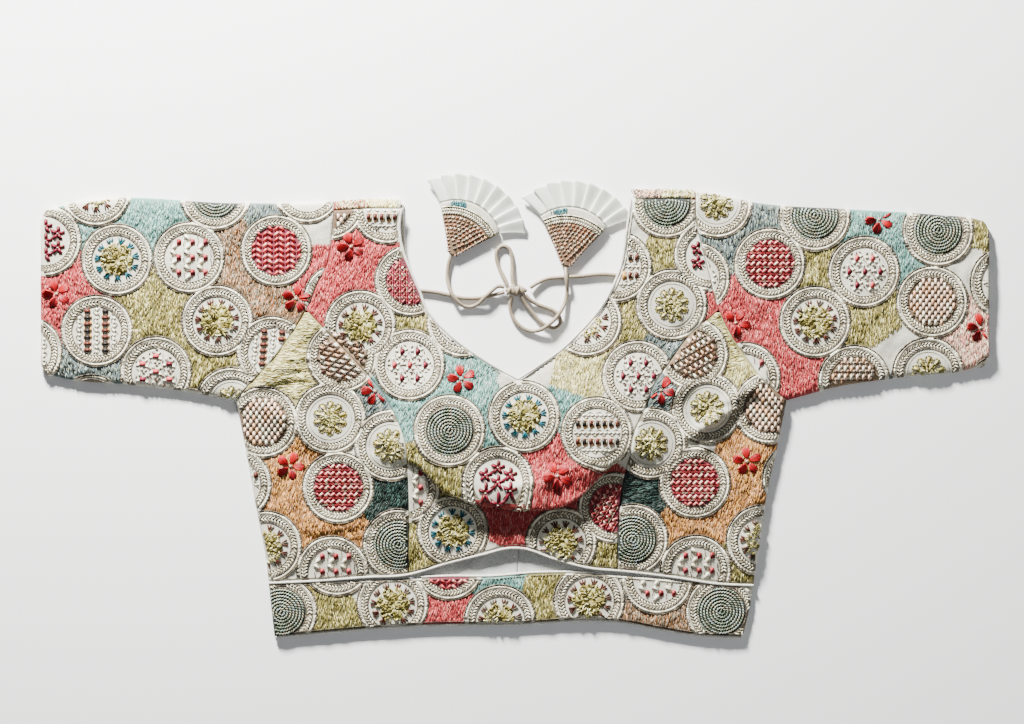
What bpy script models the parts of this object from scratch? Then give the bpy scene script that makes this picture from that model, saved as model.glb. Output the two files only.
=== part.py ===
"""Choli blouse laid flat, face up: princess-cut front, deep back neck tied with a
corded bow, two latkans, elbow sleeves and a waistband.

X runs across the blouse from its right cuff to its left cuff, Y from hem to
shoulder, Z up from the surface it lies on. The origin is under the middle of
the blouse, on that surface. Tables are in millimetres.
"""

import math

import bmesh
import bpy
import numpy as np

MM = 0.001

# Driving sizes, in millimetres
CLOTH = 1.5
LINING = 1.0
SEAM_GAP = 0.3
SEAM_INSET = 0.25
SLEEVE_START = 0.004  # share of the sleeve, clear of the armhole
PIPING = 2.2
CORD = 3.2
FOLD_HEIGHT = 3.3
SLEEVE_HEIGHT = 6.2
BODICE_HEIGHT = 8.0
BAND_HEIGHT = 4.9
SHOULDER_WRAP = 7.0
PILLOW_RUN = 14.0
BUST_HEIGHT = 14.0
LIP_HEIGHT = 7.5
LIP_OVERHANG = 4.5
CENTRE_X = 2.5
NECK_POINT_Y = 25.5
PRINCESS_TOP_Y = 84.0
CUFF_X = 394.0
ARMPIT_Y = 11.0
BACK_NECK_Y = -22.0

# Outlines seen from above: a row is a place along the curve, then the curve there
TOP_FOLD = [  # x, y
    (-394, 162), (-391, 168), (-384, 170.5), (-229, 175), (-179, 175), (-150, 176.5),
    (-121, 178), (-93, 178), (97, 186), (154, 185), (204, 175), (279, 170), (354, 165),
    (386, 161), (391, 159), (394, 153)]
SLEEVE_UNDER = [  # x, y
    (-394, 40), (-391, 34), (-382, 31), (-321, 24), (-271, 18), (-242, 12.5),
    (-232, 11), (226, 11), (237, 14), (262, 21), (321, 30), (382, 38), (391, 41), (394, 47)]
SIDE_SEAM = {  # y, x
    -1: [(-187, -200), (-160, -203), (-120, -207.5), (-75, -216), (-25, -225), (11, -232)],
    1: [(-187, 189), (-163, 195), (-137, 199), (-97, 205), (-65, 210), (-33, 217), (11, 226)]}
ARMHOLE = {  # y, x
    -1: [(11, -232), (23, -222), (41, -205), (63, -188), (89, -172), (110, -163),
         (127, -155), (145, -152.5), (178, -150)],
    1: [(11, 226), (25, 209), (45, 193), (68, 178), (87, 169), (118, 161), (140, 155),
        (156, 151), (186, 150)]}
PRINCESS = {  # y, x
    -1: [(-136, -89), (-90, -88), (-49, -89), (-20, -92), (6, -103), (15, -108),
         (31, -121), (45, -134), (69, -157), (86, -173)],
    1: [(-134, 85), (-90, 86), (-54, 90), (-38, 94), (-15, 99), (7, 109), (21, 114),
        (31, 120), (45, 130), (64, 144), (86, 169)]}
FRONT_NECK = {  # y, x
    -1: [(28, 2.5), (34, -8), (50, -34), (67, -56), (86, -73), (101, -79), (117, -86),
         (132, -92), (157, -96), (178, -92)],
    1: [(28, 2.5), (38, 17), (52, 37), (67, 53), (85, 69), (103, 80), (121, 87.5),
        (150, 92.5), (186, 97.5)]}
BACK_NECK_HALF = [  # y, half width
    (-22, 0), (-20, 18), (-15, 34), (-6, 47), (6, 58), (27, 70), (60, 80), (103, 88.5),
    (150, 95.5), (186, 96)]
BODICE_HEM = [  # x, y
    (-206, -141), (-164, -139), (-124, -136), (-90, -134), (-55, -124), (-27, -117),
    (-3, -111.5), (7, -112), (31, -120), (60, -128), (91, -131), (139, -137), (164, -141),
    (199, -143)]
BAND_TOP = [  # x, y
    (-206, -141), (-164, -139), (-124, -137.5), (-92, -136.5), (-55, -135), (-21, -135),
    (17, -132), (60, -132), (91, -134), (139, -138), (164, -141), (199, -143)]
BAND_HEM = [  # x, y
    (-200, -186), (-158, -182), (-109, -178), (-71, -176), (4, -175), (58, -172),
    (86, -173), (119, -179), (149, -184), (189, -186)]
BUST_FOLD = [  # x, y
    (-232, -48), (-150, -42), (-105, -38), (-77, -44), (-62, -58), (-47, -65), (-17, -72),
    (4, -74), (16, -74), (54, -64), (71, -49), (85, -37), (120, -36), (226, -48)]

# Fullness of the bust: centre x, centre y, spread in x, spread in y
BUSTS = [(-58, -12, 56, 56), (62, -12, 56, 56)]
# Largest creases: start x, start y, end x, end y, half width, height
CREASES = [
    (146, -22, 208, 32, 8, 4.5), (192, 24, 226, -2, 7, 2.2), (121, 10, 150, 28, 7, 2.5),
    (152, -44, 205, -2, 8, -2.5), (-224, 16, -165, -18, 9, 3.4), (-215, -18, -150, -50, 9, -2.2),
    (-171, -89, -104, -97, 9, 2.4), (-60, -96, 40, -92, 9, -2.0), (100, -84, 180, -66, 10, 2.0),
    (185, 70, 232, 16, 7, 1.2), (-250, 60, -215, 130, 9, 1.0), (250, 60, 300, 120, 9, 1.0)]

# Ties, on the surface in the neck opening: x, y, z of each route point
DORI_LEFT = [
    (-84.6, 103.4, 1.8), (-79, 102.6, 1.7), (-67.5, 101.3, 1.7), (-56, 99, 1.7),
    (-46, 96.6, 1.7), (-33, 96, 1.7), (-21, 98, 1.8), (-13, 100, 3.0), (-8.9, 101.2, 3.6)]
DORI_RIGHT = [
    (89.8, 115, 1.8), (84, 115.3, 1.7), (72.8, 116, 1.7), (54, 114.3, 1.7),
    (38.5, 113.4, 1.7), (26, 112, 1.7), (19, 108.8, 2.4), (12.6, 104.9, 3.6)]
LOOP_UP = [
    (-6.2, 107.2, 4.4), (-9, 113, 3.6), (-13, 121, 1.9), (-15.4, 129, 1.7), (-15, 135.5, 1.7),
    (-10.3, 139.6, 1.7), (-5, 137.6, 1.7), (-2.8, 131, 1.7), (-2.2, 122, 2.2),
    (-2.4, 113.6, 4.0), (-1.5, 107.6, 4.6)]
LOOP_RIGHT = [
    (8.6, 98.6, 4.4), (12.6, 94.6, 3.6), (18.5, 91, 2.2), (25, 88.6, 1.7), (31.5, 86, 1.7),
    (36.8, 81, 1.7), (37.6, 75.2, 1.7), (33.4, 71.4, 1.7), (27.4, 72.8, 1.7),
    (20.6, 77, 1.7), (15, 83.4, 1.8), (9.6, 90, 2.6), (5.4, 97.2, 4.2)]
TAIL_LEFT = [
    (-8.7, 105.2, 4.4), (-13.6, 106, 4.6), (-19.5, 101.8, 5.2), (-24.8, 97, 5.3),
    (-29.8, 92, 3.4), (-36, 89, 1.8), (-42.4, 89.4, 2.2), (-47.4, 92.8, 4.2),
    (-51.4, 98, 5.3), (-54.6, 104.6, 4.0), (-56.3, 112, 2.2), (-56, 120, 2.0), (-54.9, 126.6, 2.3),
    (-53.25, 131.3, 2.4)]
TAIL_RIGHT = [
    (-2.4, 97.4, 4.0), (-4, 90.6, 2.4), (-3.2, 83.4, 1.7), (0.6, 76.4, 1.7),
    (6.4, 71.2, 1.7), (13.6, 68.6, 1.9), (21, 69.6, 3.8), (27.6, 73.6, 5.4),
    (33.6, 79, 4.8), (38, 85, 4.8), (41.6, 92.4, 2.6), (43.4, 101, 2.2), (43.2, 107.6, 5.0),
    (42.6, 113.4, 5.9), (42.2, 118.2, 4.0), (42.36, 121.7, 2.6)]
KNOT_CENTRE = (1.0, 102.4, 4.2)
KNOT_HALF = (9.6, 4.6, 3.9)

# Latkans: tip x, tip y, direction of the middle and half angle in degrees, and the
# lengths of the cone and of the frill beyond it
LATKANS = {
    "left": (-54.2, 129.4, 63.0, 37.0, 49.0, 22.0),
    "right": (42.0, 119.6, 80.0, 35.0, 52.0, 22.0)}
LATKAN_WALL = 1.3
LATKAN_HEIGHT = 6.4
FRILL_WALL = 1.0
FRILL_PLEATS = 9


def smooth(table, place):
    """The value of a smooth curve through a table's rows, at a place along it."""
    keys = np.array([row[0] for row in table], float)
    values = np.array([row[1] for row in table], float)
    slopes = np.gradient(values, keys)
    place = np.clip(place, keys[0], keys[-1])
    i = np.clip(np.searchsorted(keys, place) - 1, 0, len(keys) - 2)
    step = keys[i + 1] - keys[i]
    t = (place - keys[i]) / step
    return (
        values[i] * (1 + 2 * t) * (1 - t) ** 2
        + slopes[i] * step * t * (1 - t) ** 2
        + values[i + 1] * t * t * (3 - 2 * t)
        + slopes[i + 1] * step * t * t * (t - 1))


def ease(low, high, value):
    """0 below low, 1 above high, and a soft step between."""
    t = np.clip((value - low) / (high - low), 0, 1)
    return t * t * (3 - 2 * t)


def side_of(x):
    return np.where(x < CENTRE_X, -1, 1)


def by_side(tables, x, place):
    """A left or a right table's value, as x is left or right of the centre."""
    return np.where(side_of(x) < 0, smooth(tables[-1], place), smooth(tables[1], place))


def from_edge(x, y):
    """How far a point lies inside the folds and side seams of the blouse."""
    from_top = smooth(TOP_FOLD, x) - y
    from_under = y - smooth(SLEEVE_UNDER, x)
    from_side = np.abs(by_side(SIDE_SEAM, x, np.minimum(y, ARMPIT_Y))) - np.abs(x)
    return np.maximum(np.minimum(from_top, np.maximum(from_under, from_side)), 0)


def crease_height(x, y, creases):
    """Ridges and troughs along short lines, fading at their ends."""
    total = np.zeros_like(x)
    for x0, y0, x1, y1, width, height in creases:
        dx, dy = x1 - x0, y1 - y0
        t = np.clip(((x - x0) * dx + (y - y0) * dy) / (dx * dx + dy * dy), 0, 1)
        off = np.hypot(x - x0 - t * dx, y - y0 - t * dy)
        total += height * np.exp(-((off / width) ** 2)) * (0.25 + 0.75 * np.sin(math.pi * t))
    return total


def on_bodice(x, y):
    """1 on the bodice, 0 on the sleeves, with a soft change along the armhole."""
    outer = np.abs(by_side(ARMHOLE, x, np.clip(y, ARMPIT_Y, 178)))
    return ease(-16, 10, outer - np.abs(x))


def bust_fullness(x, y):
    """The cloth that the bust shaping lifts, and the fold that it drops into."""
    fold = smooth(BUST_FOLD, x)
    lift = sum(
        BUST_HEIGHT * np.exp(-(((x - cx) / sx) ** 2) - ((y - cy) / sy) ** 2)
        for cx, cy, sx, sy in BUSTS)
    across = np.exp(-(((x - 4) / 66) ** 2))
    lip = LIP_HEIGHT * across * np.exp(-(((y - fold - 9) / 17) ** 2))
    kept = 0.22 + 0.78 * ease(-7, 4, y - fold)
    kept = 1 - (1 - kept) * np.clip(across * 1.5, 0, 1)
    return (lift + lip) * kept


def front_height(x, y):
    """Height of the outside of the upper layer above the surface."""
    bodice = on_bodice(x, y)
    base = SLEEVE_HEIGHT + (BODICE_HEIGHT - SLEEVE_HEIGHT) * bodice
    near_hem = 1 - ease(0, 26, y - smooth(BODICE_HEM, x))
    base -= 2.8 * near_hem * (1 - 0.85 * np.exp(-(((x - 2) / 62) ** 2)))
    inside = np.clip(from_edge(x, y) / PILLOW_RUN, 0, 1)
    pillow = np.sqrt(1 - (1 - inside) ** 2)
    shaped = crease_height(x, y, CREASES) + bust_fullness(x, y) * bodice
    return (
        FOLD_HEIGHT
        + (base - FOLD_HEIGHT) * pillow
        + shaped * ease(0, 26, from_edge(x, y)) * ease(-2, 12, y - smooth(BODICE_HEM, x)))


def front_point(x, y):
    """A point of the upper layer: the lip of the bust fold hangs over its foot."""
    fold = smooth(BUST_FOLD, x)
    across = np.exp(-(((x - 4) / 62) ** 4))
    drop = LIP_OVERHANG * across * np.exp(-(((y - fold - 4) / 7) ** 2))
    return np.stack([x, y - drop, front_height(x, y)], axis=-1)


def lower_height(depth):
    """Height of the outside of the lower layer, which rounds up into a fold."""
    inside = np.clip(FOLD_HEIGHT - depth, 0, FOLD_HEIGHT)
    return FOLD_HEIGHT - np.sqrt(np.maximum(FOLD_HEIGHT**2 - inside**2, 0))


def slant(table, place):
    """Length along a steep curve for each unit of its first column's direction."""
    rise = (smooth(table, place + 0.5) - smooth(table, place - 0.5)) / 1.0
    return np.sqrt(1 + rise * rise)


def meet(level, edge, start):
    """The x at which a row, y as a function of x, meets an edge, x as one of y."""
    x = start
    for _ in range(30):
        x = 0.5 * x + 0.5 * float(edge(level(x)))
    return x


def material(name, colour, roughness):
    made = bpy.data.materials.new(name)
    made.use_nodes = True
    shader = made.node_tree.nodes["Principled BSDF"]
    shader.inputs["Base Color"].default_value = (*colour, 1)
    shader.inputs["Roughness"].default_value = roughness
    shader.inputs["Metallic"].default_value = 0
    return made


def add_object(name, data, finish):
    made = bpy.data.objects.new(name, data)
    made.data.materials.append(finish)
    BLOUSE.objects.link(made)
    return made


def add_panel(name, bm, wall, finish, offset=-1):
    """An open sheet in millimetres made into a cloth wall."""
    bmesh.ops.scale(bm, vec=(MM, MM, MM), verts=bm.verts)
    mesh = bpy.data.meshes.new(name)
    bm.to_mesh(mesh)
    bm.free()
    made = add_object(name, mesh, finish)
    solid = made.modifiers.new("Cloth", "SOLIDIFY")
    solid.thickness = wall * MM
    solid.offset = offset
    mesh.shade_smooth()
    mesh.set_sharp_from_angle(angle=math.radians(40))
    return made


def grid(columns, rows, place):
    """A grid sheet whose points place(i, j) gives, column i of row j."""
    bm = bmesh.new()
    bmesh.ops.create_grid(bm, x_segments=columns, y_segments=rows, size=1)
    for vert in bm.verts:
        i = round((vert.co.x + 1) / 2 * columns)
        j = round((vert.co.y + 1) / 2 * rows)
        vert.co = place(i, j)
    return bm


def add_tube(name, points, diameter, finish):
    """A round cord or piping through points in millimetres."""
    curve = bpy.data.curves.new(name, "CURVE")
    curve.dimensions = "3D"
    curve.bevel_depth = diameter / 2 * MM
    curve.bevel_resolution = 2
    curve.use_fill_caps = True
    spline = curve.splines.new("POLY")
    spline.points.add(len(points) - 1)
    for point, place in zip(spline.points, points):
        point.co = (*[float(c) * MM for c in place], 1)
    return add_object(name, curve, finish)


def resample(points, spacing):
    """Points a fixed distance apart on the smooth curve through a route."""
    route = np.array(points, float)
    lengths = np.concatenate([[0], np.cumsum(np.linalg.norm(np.diff(route, axis=0), axis=1))])
    count = max(4, round(lengths[-1] / spacing) + 1)
    at = np.linspace(0, lengths[-1], count)
    columns = [smooth(list(zip(lengths, route[:, k])), at) for k in range(3)]
    return np.stack(columns, axis=-1)


def row_levels(guides, counts):
    """Rows as functions of x, evenly between each pair of guide lines."""
    rows = []
    for (low, high), count in zip(zip(guides, guides[1:]), counts):
        for k in range(count):
            share = k / count
            rows.append(lambda x, a=low, b=high, w=share: a(x) * (1 - w) + b(x) * w)
    rows.append(guides[-1])
    return rows


for old in list(bpy.data.objects):
    bpy.data.objects.remove(old, do_unlink=True)
BLOUSE = bpy.data.collections.new("choli_blouse")
bpy.context.scene.collection.children.link(BLOUSE)

EMBROIDERED = material("embroidered_cotton_silk", (0.55, 0.50, 0.38), 0.7)
SLEEVE_CLOTH = material("embroidered_sleeve_cloth", (0.58, 0.45, 0.38), 0.7)
OFF_WHITE = material("cotton_lining", (0.72, 0.71, 0.66), 0.85)
BIAS = material("satin_bias", (0.80, 0.78, 0.72), 0.5)
ROULEAU = material("rouleau_cord", (0.78, 0.74, 0.66), 0.55)
ORGANZA = material("organza_frill", (0.80, 0.81, 0.76), 0.5)

# Front: rows run from the hem, round the bust fold, to the shoulder seam
FRONT_COUNTS = (5, 4, 8, 5, 6)
FRONT_ROWS = row_levels(
    [
        lambda x: smooth(BODICE_HEM, x) + PIPING / 2 + SEAM_GAP,
        lambda x: smooth(BUST_FOLD, x) - 8,
        lambda x: smooth(BUST_FOLD, x) + 10,
        lambda x: NECK_POINT_Y + 0 * x,
        lambda x: PRINCESS_TOP_Y + 0 * x,
        lambda x: smooth(TOP_FOLD, x) - SHOULDER_WRAP - 3 * SEAM_GAP],
    FRONT_COUNTS)
NECK_ROW = sum(FRONT_COUNTS[:3])
PRINCESS_ROW = sum(FRONT_COUNTS[:4])
CENTRE_COLUMNS = 11
SIDE_COLUMNS = 9


def neck_edge(side, y):
    """The cloth's edge at the front neck, clear of its piping."""
    table = FRONT_NECK[side]
    inset = (PIPING / 2 + 2 * SEAM_GAP) * slant(table, y)
    return smooth(table, y) + side * inset


def outer_edge(table, side, y):
    return smooth(table, y) - side * SEAM_INSET * slant(table, y)


def front_centre_span(side, j):
    """Where a row of the front centre starts and ends."""
    level = FRONT_ROWS[j]
    table = PRINCESS[side] if j <= PRINCESS_ROW else ARMHOLE[side]
    start = CENTRE_X
    if j > NECK_ROW:
        start = meet(level, lambda y: neck_edge(side, y), side * 60)
    return start, meet(level, lambda y: outer_edge(table, side, y), side * 120)


def build_front_centre():
    whole = bmesh.new()
    for side in (-1, 1):
        spans = [front_centre_span(side, j) for j in range(len(FRONT_ROWS))]

        def place(i, j):
            start, end = spans[j]
            x = start + (end - start) * i / CENTRE_COLUMNS
            return front_point(np.array(x), np.array(float(FRONT_ROWS[j](x))))

        half = grid(CENTRE_COLUMNS, len(FRONT_ROWS) - 1, place)
        if side < 0:
            bmesh.ops.reverse_faces(half, faces=half.faces)
        mesh = bpy.data.meshes.new("half")
        half.to_mesh(mesh)
        half.free()
        whole.from_mesh(mesh)
        bpy.data.meshes.remove(mesh)
    bmesh.ops.remove_doubles(whole, verts=whole.verts, dist=0.01)
    add_panel("front_centre", whole, CLOTH, EMBROIDERED)


def build_front_side(side, name):
    def outline(y):
        table = SIDE_SEAM if y < ARMPIT_Y else ARMHOLE
        return outer_edge(table[side], side, y)

    spans = []
    for level in FRONT_ROWS[: PRINCESS_ROW + 1]:
        start = meet(level, lambda y: smooth(PRINCESS[side], y), side * 100)
        start += side * SEAM_INSET * slant(PRINCESS[side], level(start))
        spans.append((start, meet(level, outline, side * 200)))

    def place(i, j):
        start, end = spans[j]
        share = 1 - (1 - i / SIDE_COLUMNS) ** 1.5
        x = start + (end - start) * share
        return front_point(np.array(x), np.array(float(FRONT_ROWS[j](x))))

    bm = grid(SIDE_COLUMNS, PRINCESS_ROW, place)
    if side < 0:
        bmesh.ops.reverse_faces(bm, faces=bm.faces)
    add_panel(name, bm, CLOTH, EMBROIDERED)


def back_neck_x(side, y):
    return CENTRE_X + side * smooth(BACK_NECK_HALF, y)


# Back: rows run up the flat lower layer, then round the shoulder fold
BACK_COUNTS = (7, 2, 2, 2, 2, 9)
BACK_ROWS = row_levels(
    [
        lambda x: smooth(BAND_HEM, x) + PIPING / 2 + SEAM_GAP,
        lambda x: BACK_NECK_Y - PIPING / 2 - 2 * SEAM_GAP + 0 * x,
        lambda x: -18.0 + 0 * x,
        lambda x: -8.0 + 0 * x,
        lambda x: ARMPIT_Y + 0 * x,
        lambda x: 40.0 + 0 * x,
        lambda x: smooth(TOP_FOLD, x) - 5],
    BACK_COUNTS)
BACK_COLUMNS = 8
# Shoulder wrap: how far a row lies from the fold, and whether it is on top
WRAP_ROWS = [(2.2, False), (0, False), (2.2, True), (SHOULDER_WRAP, True)]


def build_back(side, name):
    def inner(y):
        clear = PIPING / 2 + 2 * SEAM_GAP
        return back_neck_x(side, y + clear) + side * clear

    def outer(y):
        table = SIDE_SEAM if y < ARMPIT_Y else ARMHOLE
        return outer_edge(table[side], side, y)

    def span(level):
        start = CENTRE_X + side * SEAM_INSET
        if level(side * 60.0) > BACK_NECK_Y:
            start = meet(level, inner, side * 80)
        return start, meet(level, outer, side * 180)

    levels = BACK_ROWS + [lambda x, d=depth: smooth(TOP_FOLD, x) - d for depth, _ in WRAP_ROWS]
    spans = [span(level) for level in levels]

    def place(i, j):
        start, end = spans[j]
        x = start + (end - start) * i / BACK_COLUMNS
        y = float(levels[j](x))
        wrap = j - len(BACK_ROWS)
        if wrap >= 0 and WRAP_ROWS[wrap][1]:
            return (x, y, float(front_height(np.array(x), np.array(y))))
        return (x, y, float(lower_height(smooth(TOP_FOLD, x) - y)))

    bm = grid(BACK_COLUMNS, len(levels) - 1, place)
    if side > 0:
        bmesh.ops.reverse_faces(bm, faces=bm.faces)
    add_panel(name, bm, CLOTH, EMBROIDERED)


def build_back_lining(side, name):
    """The cotton lining of the back, which shows between bodice and waistband."""
    columns, rows, inset = 6, 6, 3.0
    level_z = CLOTH + SEAM_GAP + LINING

    def place(i, j):
        start = CENTRE_X + side * SEAM_INSET
        y = smooth(BAND_HEM, start) + inset
        y += (BACK_NECK_Y - inset - y) * j / rows
        end = float(smooth(SIDE_SEAM[side], y)) - side * 2.5 * inset
        x = start + (end - start) * i / columns
        hem = float(smooth(BAND_HEM, x)) + inset
        return (x, hem + (BACK_NECK_Y - inset - hem) * j / rows, level_z)

    bm = grid(columns, rows, place)
    if side < 0:
        bmesh.ops.reverse_faces(bm, faces=bm.faces)
    add_panel(name, bm, LINING, OFF_WHITE)


def build_waistband():
    columns, rows = 26, 4
    clear = PIPING / 2 + SEAM_GAP

    def place(i, j):
        share = j / rows
        side = -1 if i < columns / 2 else 1
        across = 0.5 - 0.5 * math.cos(math.pi * i / columns)
        y = -164.0
        for _ in range(12):
            start = float(smooth(SIDE_SEAM[-1], y)) + SEAM_INSET
            end = float(smooth(SIDE_SEAM[1], y)) - SEAM_INSET
            x = start + (end - start) * (0.3 * i / columns + 0.7 * across)
            low = float(smooth(BAND_HEM, x)) + clear
            high = min(float(smooth(BAND_TOP, x)), float(smooth(BODICE_HEM, x))) - clear
            y = low + (high - low) * share
        edge = np.clip((abs(float(smooth(SIDE_SEAM[side], y))) - abs(x)) / 7, 0, 1)
        rise = (BAND_HEIGHT - FOLD_HEIGHT) * math.sqrt(1 - (1 - edge) ** 2)
        return (x, y, FOLD_HEIGHT + rise)

    add_panel("waistband", grid(columns, rows, place), CLOTH, EMBROIDERED)


def sleeve_plan(side, s, t):
    """A sleeve point seen from above: s runs to the cuff, t from top fold to seam."""
    armhole_top = float(smooth(ARMHOLE[side], smooth(TOP_FOLD, side * 150.0)))
    top_start = np.array([armhole_top, float(smooth(TOP_FOLD, armhole_top))])
    under_start = np.array([float(smooth(ARMHOLE[side], ARMPIT_Y)), ARMPIT_Y])

    def top(a):
        x = top_start[0] + (side * CUFF_X - top_start[0]) * a
        return np.array([x, float(smooth(TOP_FOLD, x))])

    def under(a):
        x = under_start[0] + (side * CUFF_X - under_start[0]) * a
        return np.array([x, float(smooth(SLEEVE_UNDER, x))])

    def armhole(b):
        y = top_start[1] + (under_start[1] - top_start[1]) * b
        return np.array([float(smooth(ARMHOLE[side], y)), y])

    cuff = top(1) * (1 - t) + under(1) * t
    rails = top(s) * (1 - t) + under(s) * t
    ends = armhole(t) * (1 - s) + cuff * s
    corners = (top(0) * (1 - t) + under(0) * t) * (1 - s) + (top(1) * (1 - t) + under(1) * t) * s
    return rails + ends - corners


def build_sleeve(side, name):
    """A flat tube: the ring runs down the upper layer and back along the lower."""
    stations, layer = 14, 10

    def place(i, j):
        turn = i / layer
        upper = turn <= 1
        t = 0.5 - 0.5 * math.cos(math.pi * (turn if upper else 2 - turn))
        s = SLEEVE_START + (1 - SLEEVE_START) * j / stations
        x, y = sleeve_plan(side, s, t)
        depth = min(float(smooth(TOP_FOLD, x)) - y, y - float(smooth(SLEEVE_UNDER, x)))
        if t < 1e-6 or t > 1 - 1e-6:
            return (x, y, FOLD_HEIGHT)
        if upper:
            return (x, y, float(front_height(np.array(x), np.array(y))))
        return (x, y, float(lower_height(max(depth, 0))))

    bm = grid(2 * layer, stations, place)
    bmesh.ops.remove_doubles(bm, verts=bm.verts, dist=0.001)
    if side < 0:
        bmesh.ops.reverse_faces(bm, faces=bm.faces)
    add_panel(name, bm, CLOTH, SLEEVE_CLOTH)


def build_pipings():
    """Bias piping round the neck, along the bodice hem and both edges of the band."""
    def neck_route():
        left = [(float(smooth(FRONT_NECK[-1], y)), y) for y in np.linspace(170.5, 34, 22)]
        right = [(float(smooth(FRONT_NECK[1], y)), y) for y in np.linspace(37, 178, 22)]
        return left + [(CENTRE_X, 28.6)] + right

    above_lining = CLOTH + LINING + 2 * SEAM_GAP + PIPING / 2 + 0.1

    def on_front(route, drop):
        heights = [float(front_height(np.array(float(x)), np.array(float(y)))) for x, y in route]
        return [(x, y, max(z - drop, above_lining)) for (x, y), z in zip(route, heights)]

    add_tube("front_neck_piping", on_front(neck_route(), CLOTH / 2), PIPING, BIAS)
    hem = [(x, float(smooth(BODICE_HEM, x))) for x in np.linspace(-205, 198, 34)]
    add_tube("bodice_hem_piping", on_front(hem, CLOTH / 2), PIPING, BIAS)
    band_z = BAND_HEIGHT - CLOTH / 2
    top = [(x, float(smooth(BAND_TOP, x)), band_z) for x in np.linspace(-78, 66, 14)]
    add_tube("band_top_piping", top, PIPING, BIAS)
    low = [(x, float(smooth(BAND_HEM, x)), band_z - 1.0) for x in np.linspace(-199, 188, 32)]
    add_tube("band_hem_piping", low, PIPING, BIAS)
    heights = [174, 160, 140, 120, 100, 80, 60, 42, 27, 15, 6, 0, -6, -11, -15, -18, -20]
    left = [(back_neck_x(-1, y), y, PIPING / 2 + 0.15) for y in heights]
    right = [(back_neck_x(1, y), y, PIPING / 2 + 0.15) for y in reversed(heights)]
    middle = [(CENTRE_X, BACK_NECK_Y, PIPING / 2 + 0.15)]
    add_tube("back_neck_piping", left + middle + right, PIPING, BIAS)


def build_ties():
    """The dori from each side of the back neck, the bow's loops, knot and tails."""
    for name, route in (
        ("dori_left", DORI_LEFT), ("dori_right", DORI_RIGHT), ("bow_loop_up", LOOP_UP),
        ("bow_loop_right", LOOP_RIGHT), ("tail_left", TAIL_LEFT), ("tail_right", TAIL_RIGHT)):
        add_tube(name, resample(route, 2.0 * CORD), CORD, ROULEAU)
    bm = bmesh.new()
    bmesh.ops.create_uvsphere(bm, u_segments=16, v_segments=10, radius=MM)
    bmesh.ops.scale(bm, vec=KNOT_HALF, verts=bm.verts)
    bmesh.ops.translate(bm, vec=[c * MM for c in KNOT_CENTRE], verts=bm.verts)
    mesh = bpy.data.meshes.new("bow_knot")
    bm.to_mesh(mesh)
    bm.free()
    mesh.shade_smooth()
    add_object("bow_knot", mesh, ROULEAU)


def build_latkan(which):
    """A flattened cone of the blouse's cloth, open at its wide end."""
    tip_x, tip_y, middle, spread, length, _ = LATKANS[which]
    stations, layer = 7, 8

    def place(i, j):
        turn = i / layer
        upper = turn <= 1
        across = math.cos(math.pi * (turn if upper else 2 - turn))
        reach = 3.0 + (length - 3.0) * j / stations
        angle = math.radians(middle + spread * across)
        full = 4.6 + (LATKAN_HEIGHT - 4.6) * j / stations
        bulge = math.sqrt(max(0.0, 1 - abs(across) ** 4))
        z = full / 2 + (full / 2 * bulge if upper else -full / 2 * bulge)
        reach_here = reach * (1 - 0.06 * across * across * j / stations)
        return (tip_x + reach_here * math.cos(angle), tip_y + reach_here * math.sin(angle), z)

    bm = grid(2 * layer, stations, place)
    bmesh.ops.remove_doubles(bm, verts=bm.verts, dist=0.001)
    add_panel("latkan_cone_" + which, bm, LATKAN_WALL, EMBROIDERED)


def build_frill(which):
    """A pleated strip round the wide end of the cone."""
    tip_x, tip_y, middle, spread, length, frill = LATKANS[which]
    per_pleat, rows = 6, 3
    columns = FRILL_PLEATS * per_pleat

    def place(i, j):
        across = 2 * i / columns - 1
        out = j / rows
        turn = 2 * math.pi * i / per_pleat
        start = length * (1 - 0.06 * across * across) + 2 * SEAM_GAP
        reach = start + (frill + 1.2 * math.cos(turn)) * out * (1 - 0.08 * across**2)
        angle = math.radians(middle + (spread + 7 * out) * across)
        wave = (0.9 + 1.5 * out) * math.sin(turn)
        z = 3.4 + wave
        return (tip_x + reach * math.cos(angle), tip_y + reach * math.sin(angle), z)

    bm = grid(columns, rows, place)
    bmesh.ops.reverse_faces(bm, faces=bm.faces)
    add_panel("latkan_frill_" + which, bm, FRILL_WALL, ORGANZA, offset=0)


build_front_centre()
for side_sign, side_name in ((-1, "left"), (1, "right")):
    build_front_side(side_sign, "front_side_" + side_name)
    build_back(side_sign, "back_" + side_name)
    build_back_lining(side_sign, "back_lining_" + side_name)
    build_sleeve(side_sign, "sleeve_" + side_name)
    build_latkan(side_name)
    build_frill(side_name)
build_waistband()
build_pipings()
build_ties()
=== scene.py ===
# %% [markdown]
# # A choli blouse, laid flat
# A short, princess-cut blouse lies face up on a pale surface, seen from straight above.
# Its cloth is covered with embroidery: round medallions with braided borders, and patches
# of long, loose satin stitches between them. The cloth is modelled as thin shells, and
# every stitch that is wide enough to see is a small thread of its own, laid on the shell.
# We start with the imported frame, which holds each piece at its real size and place.

# %% The frame
import math
from functools import partial

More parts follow.
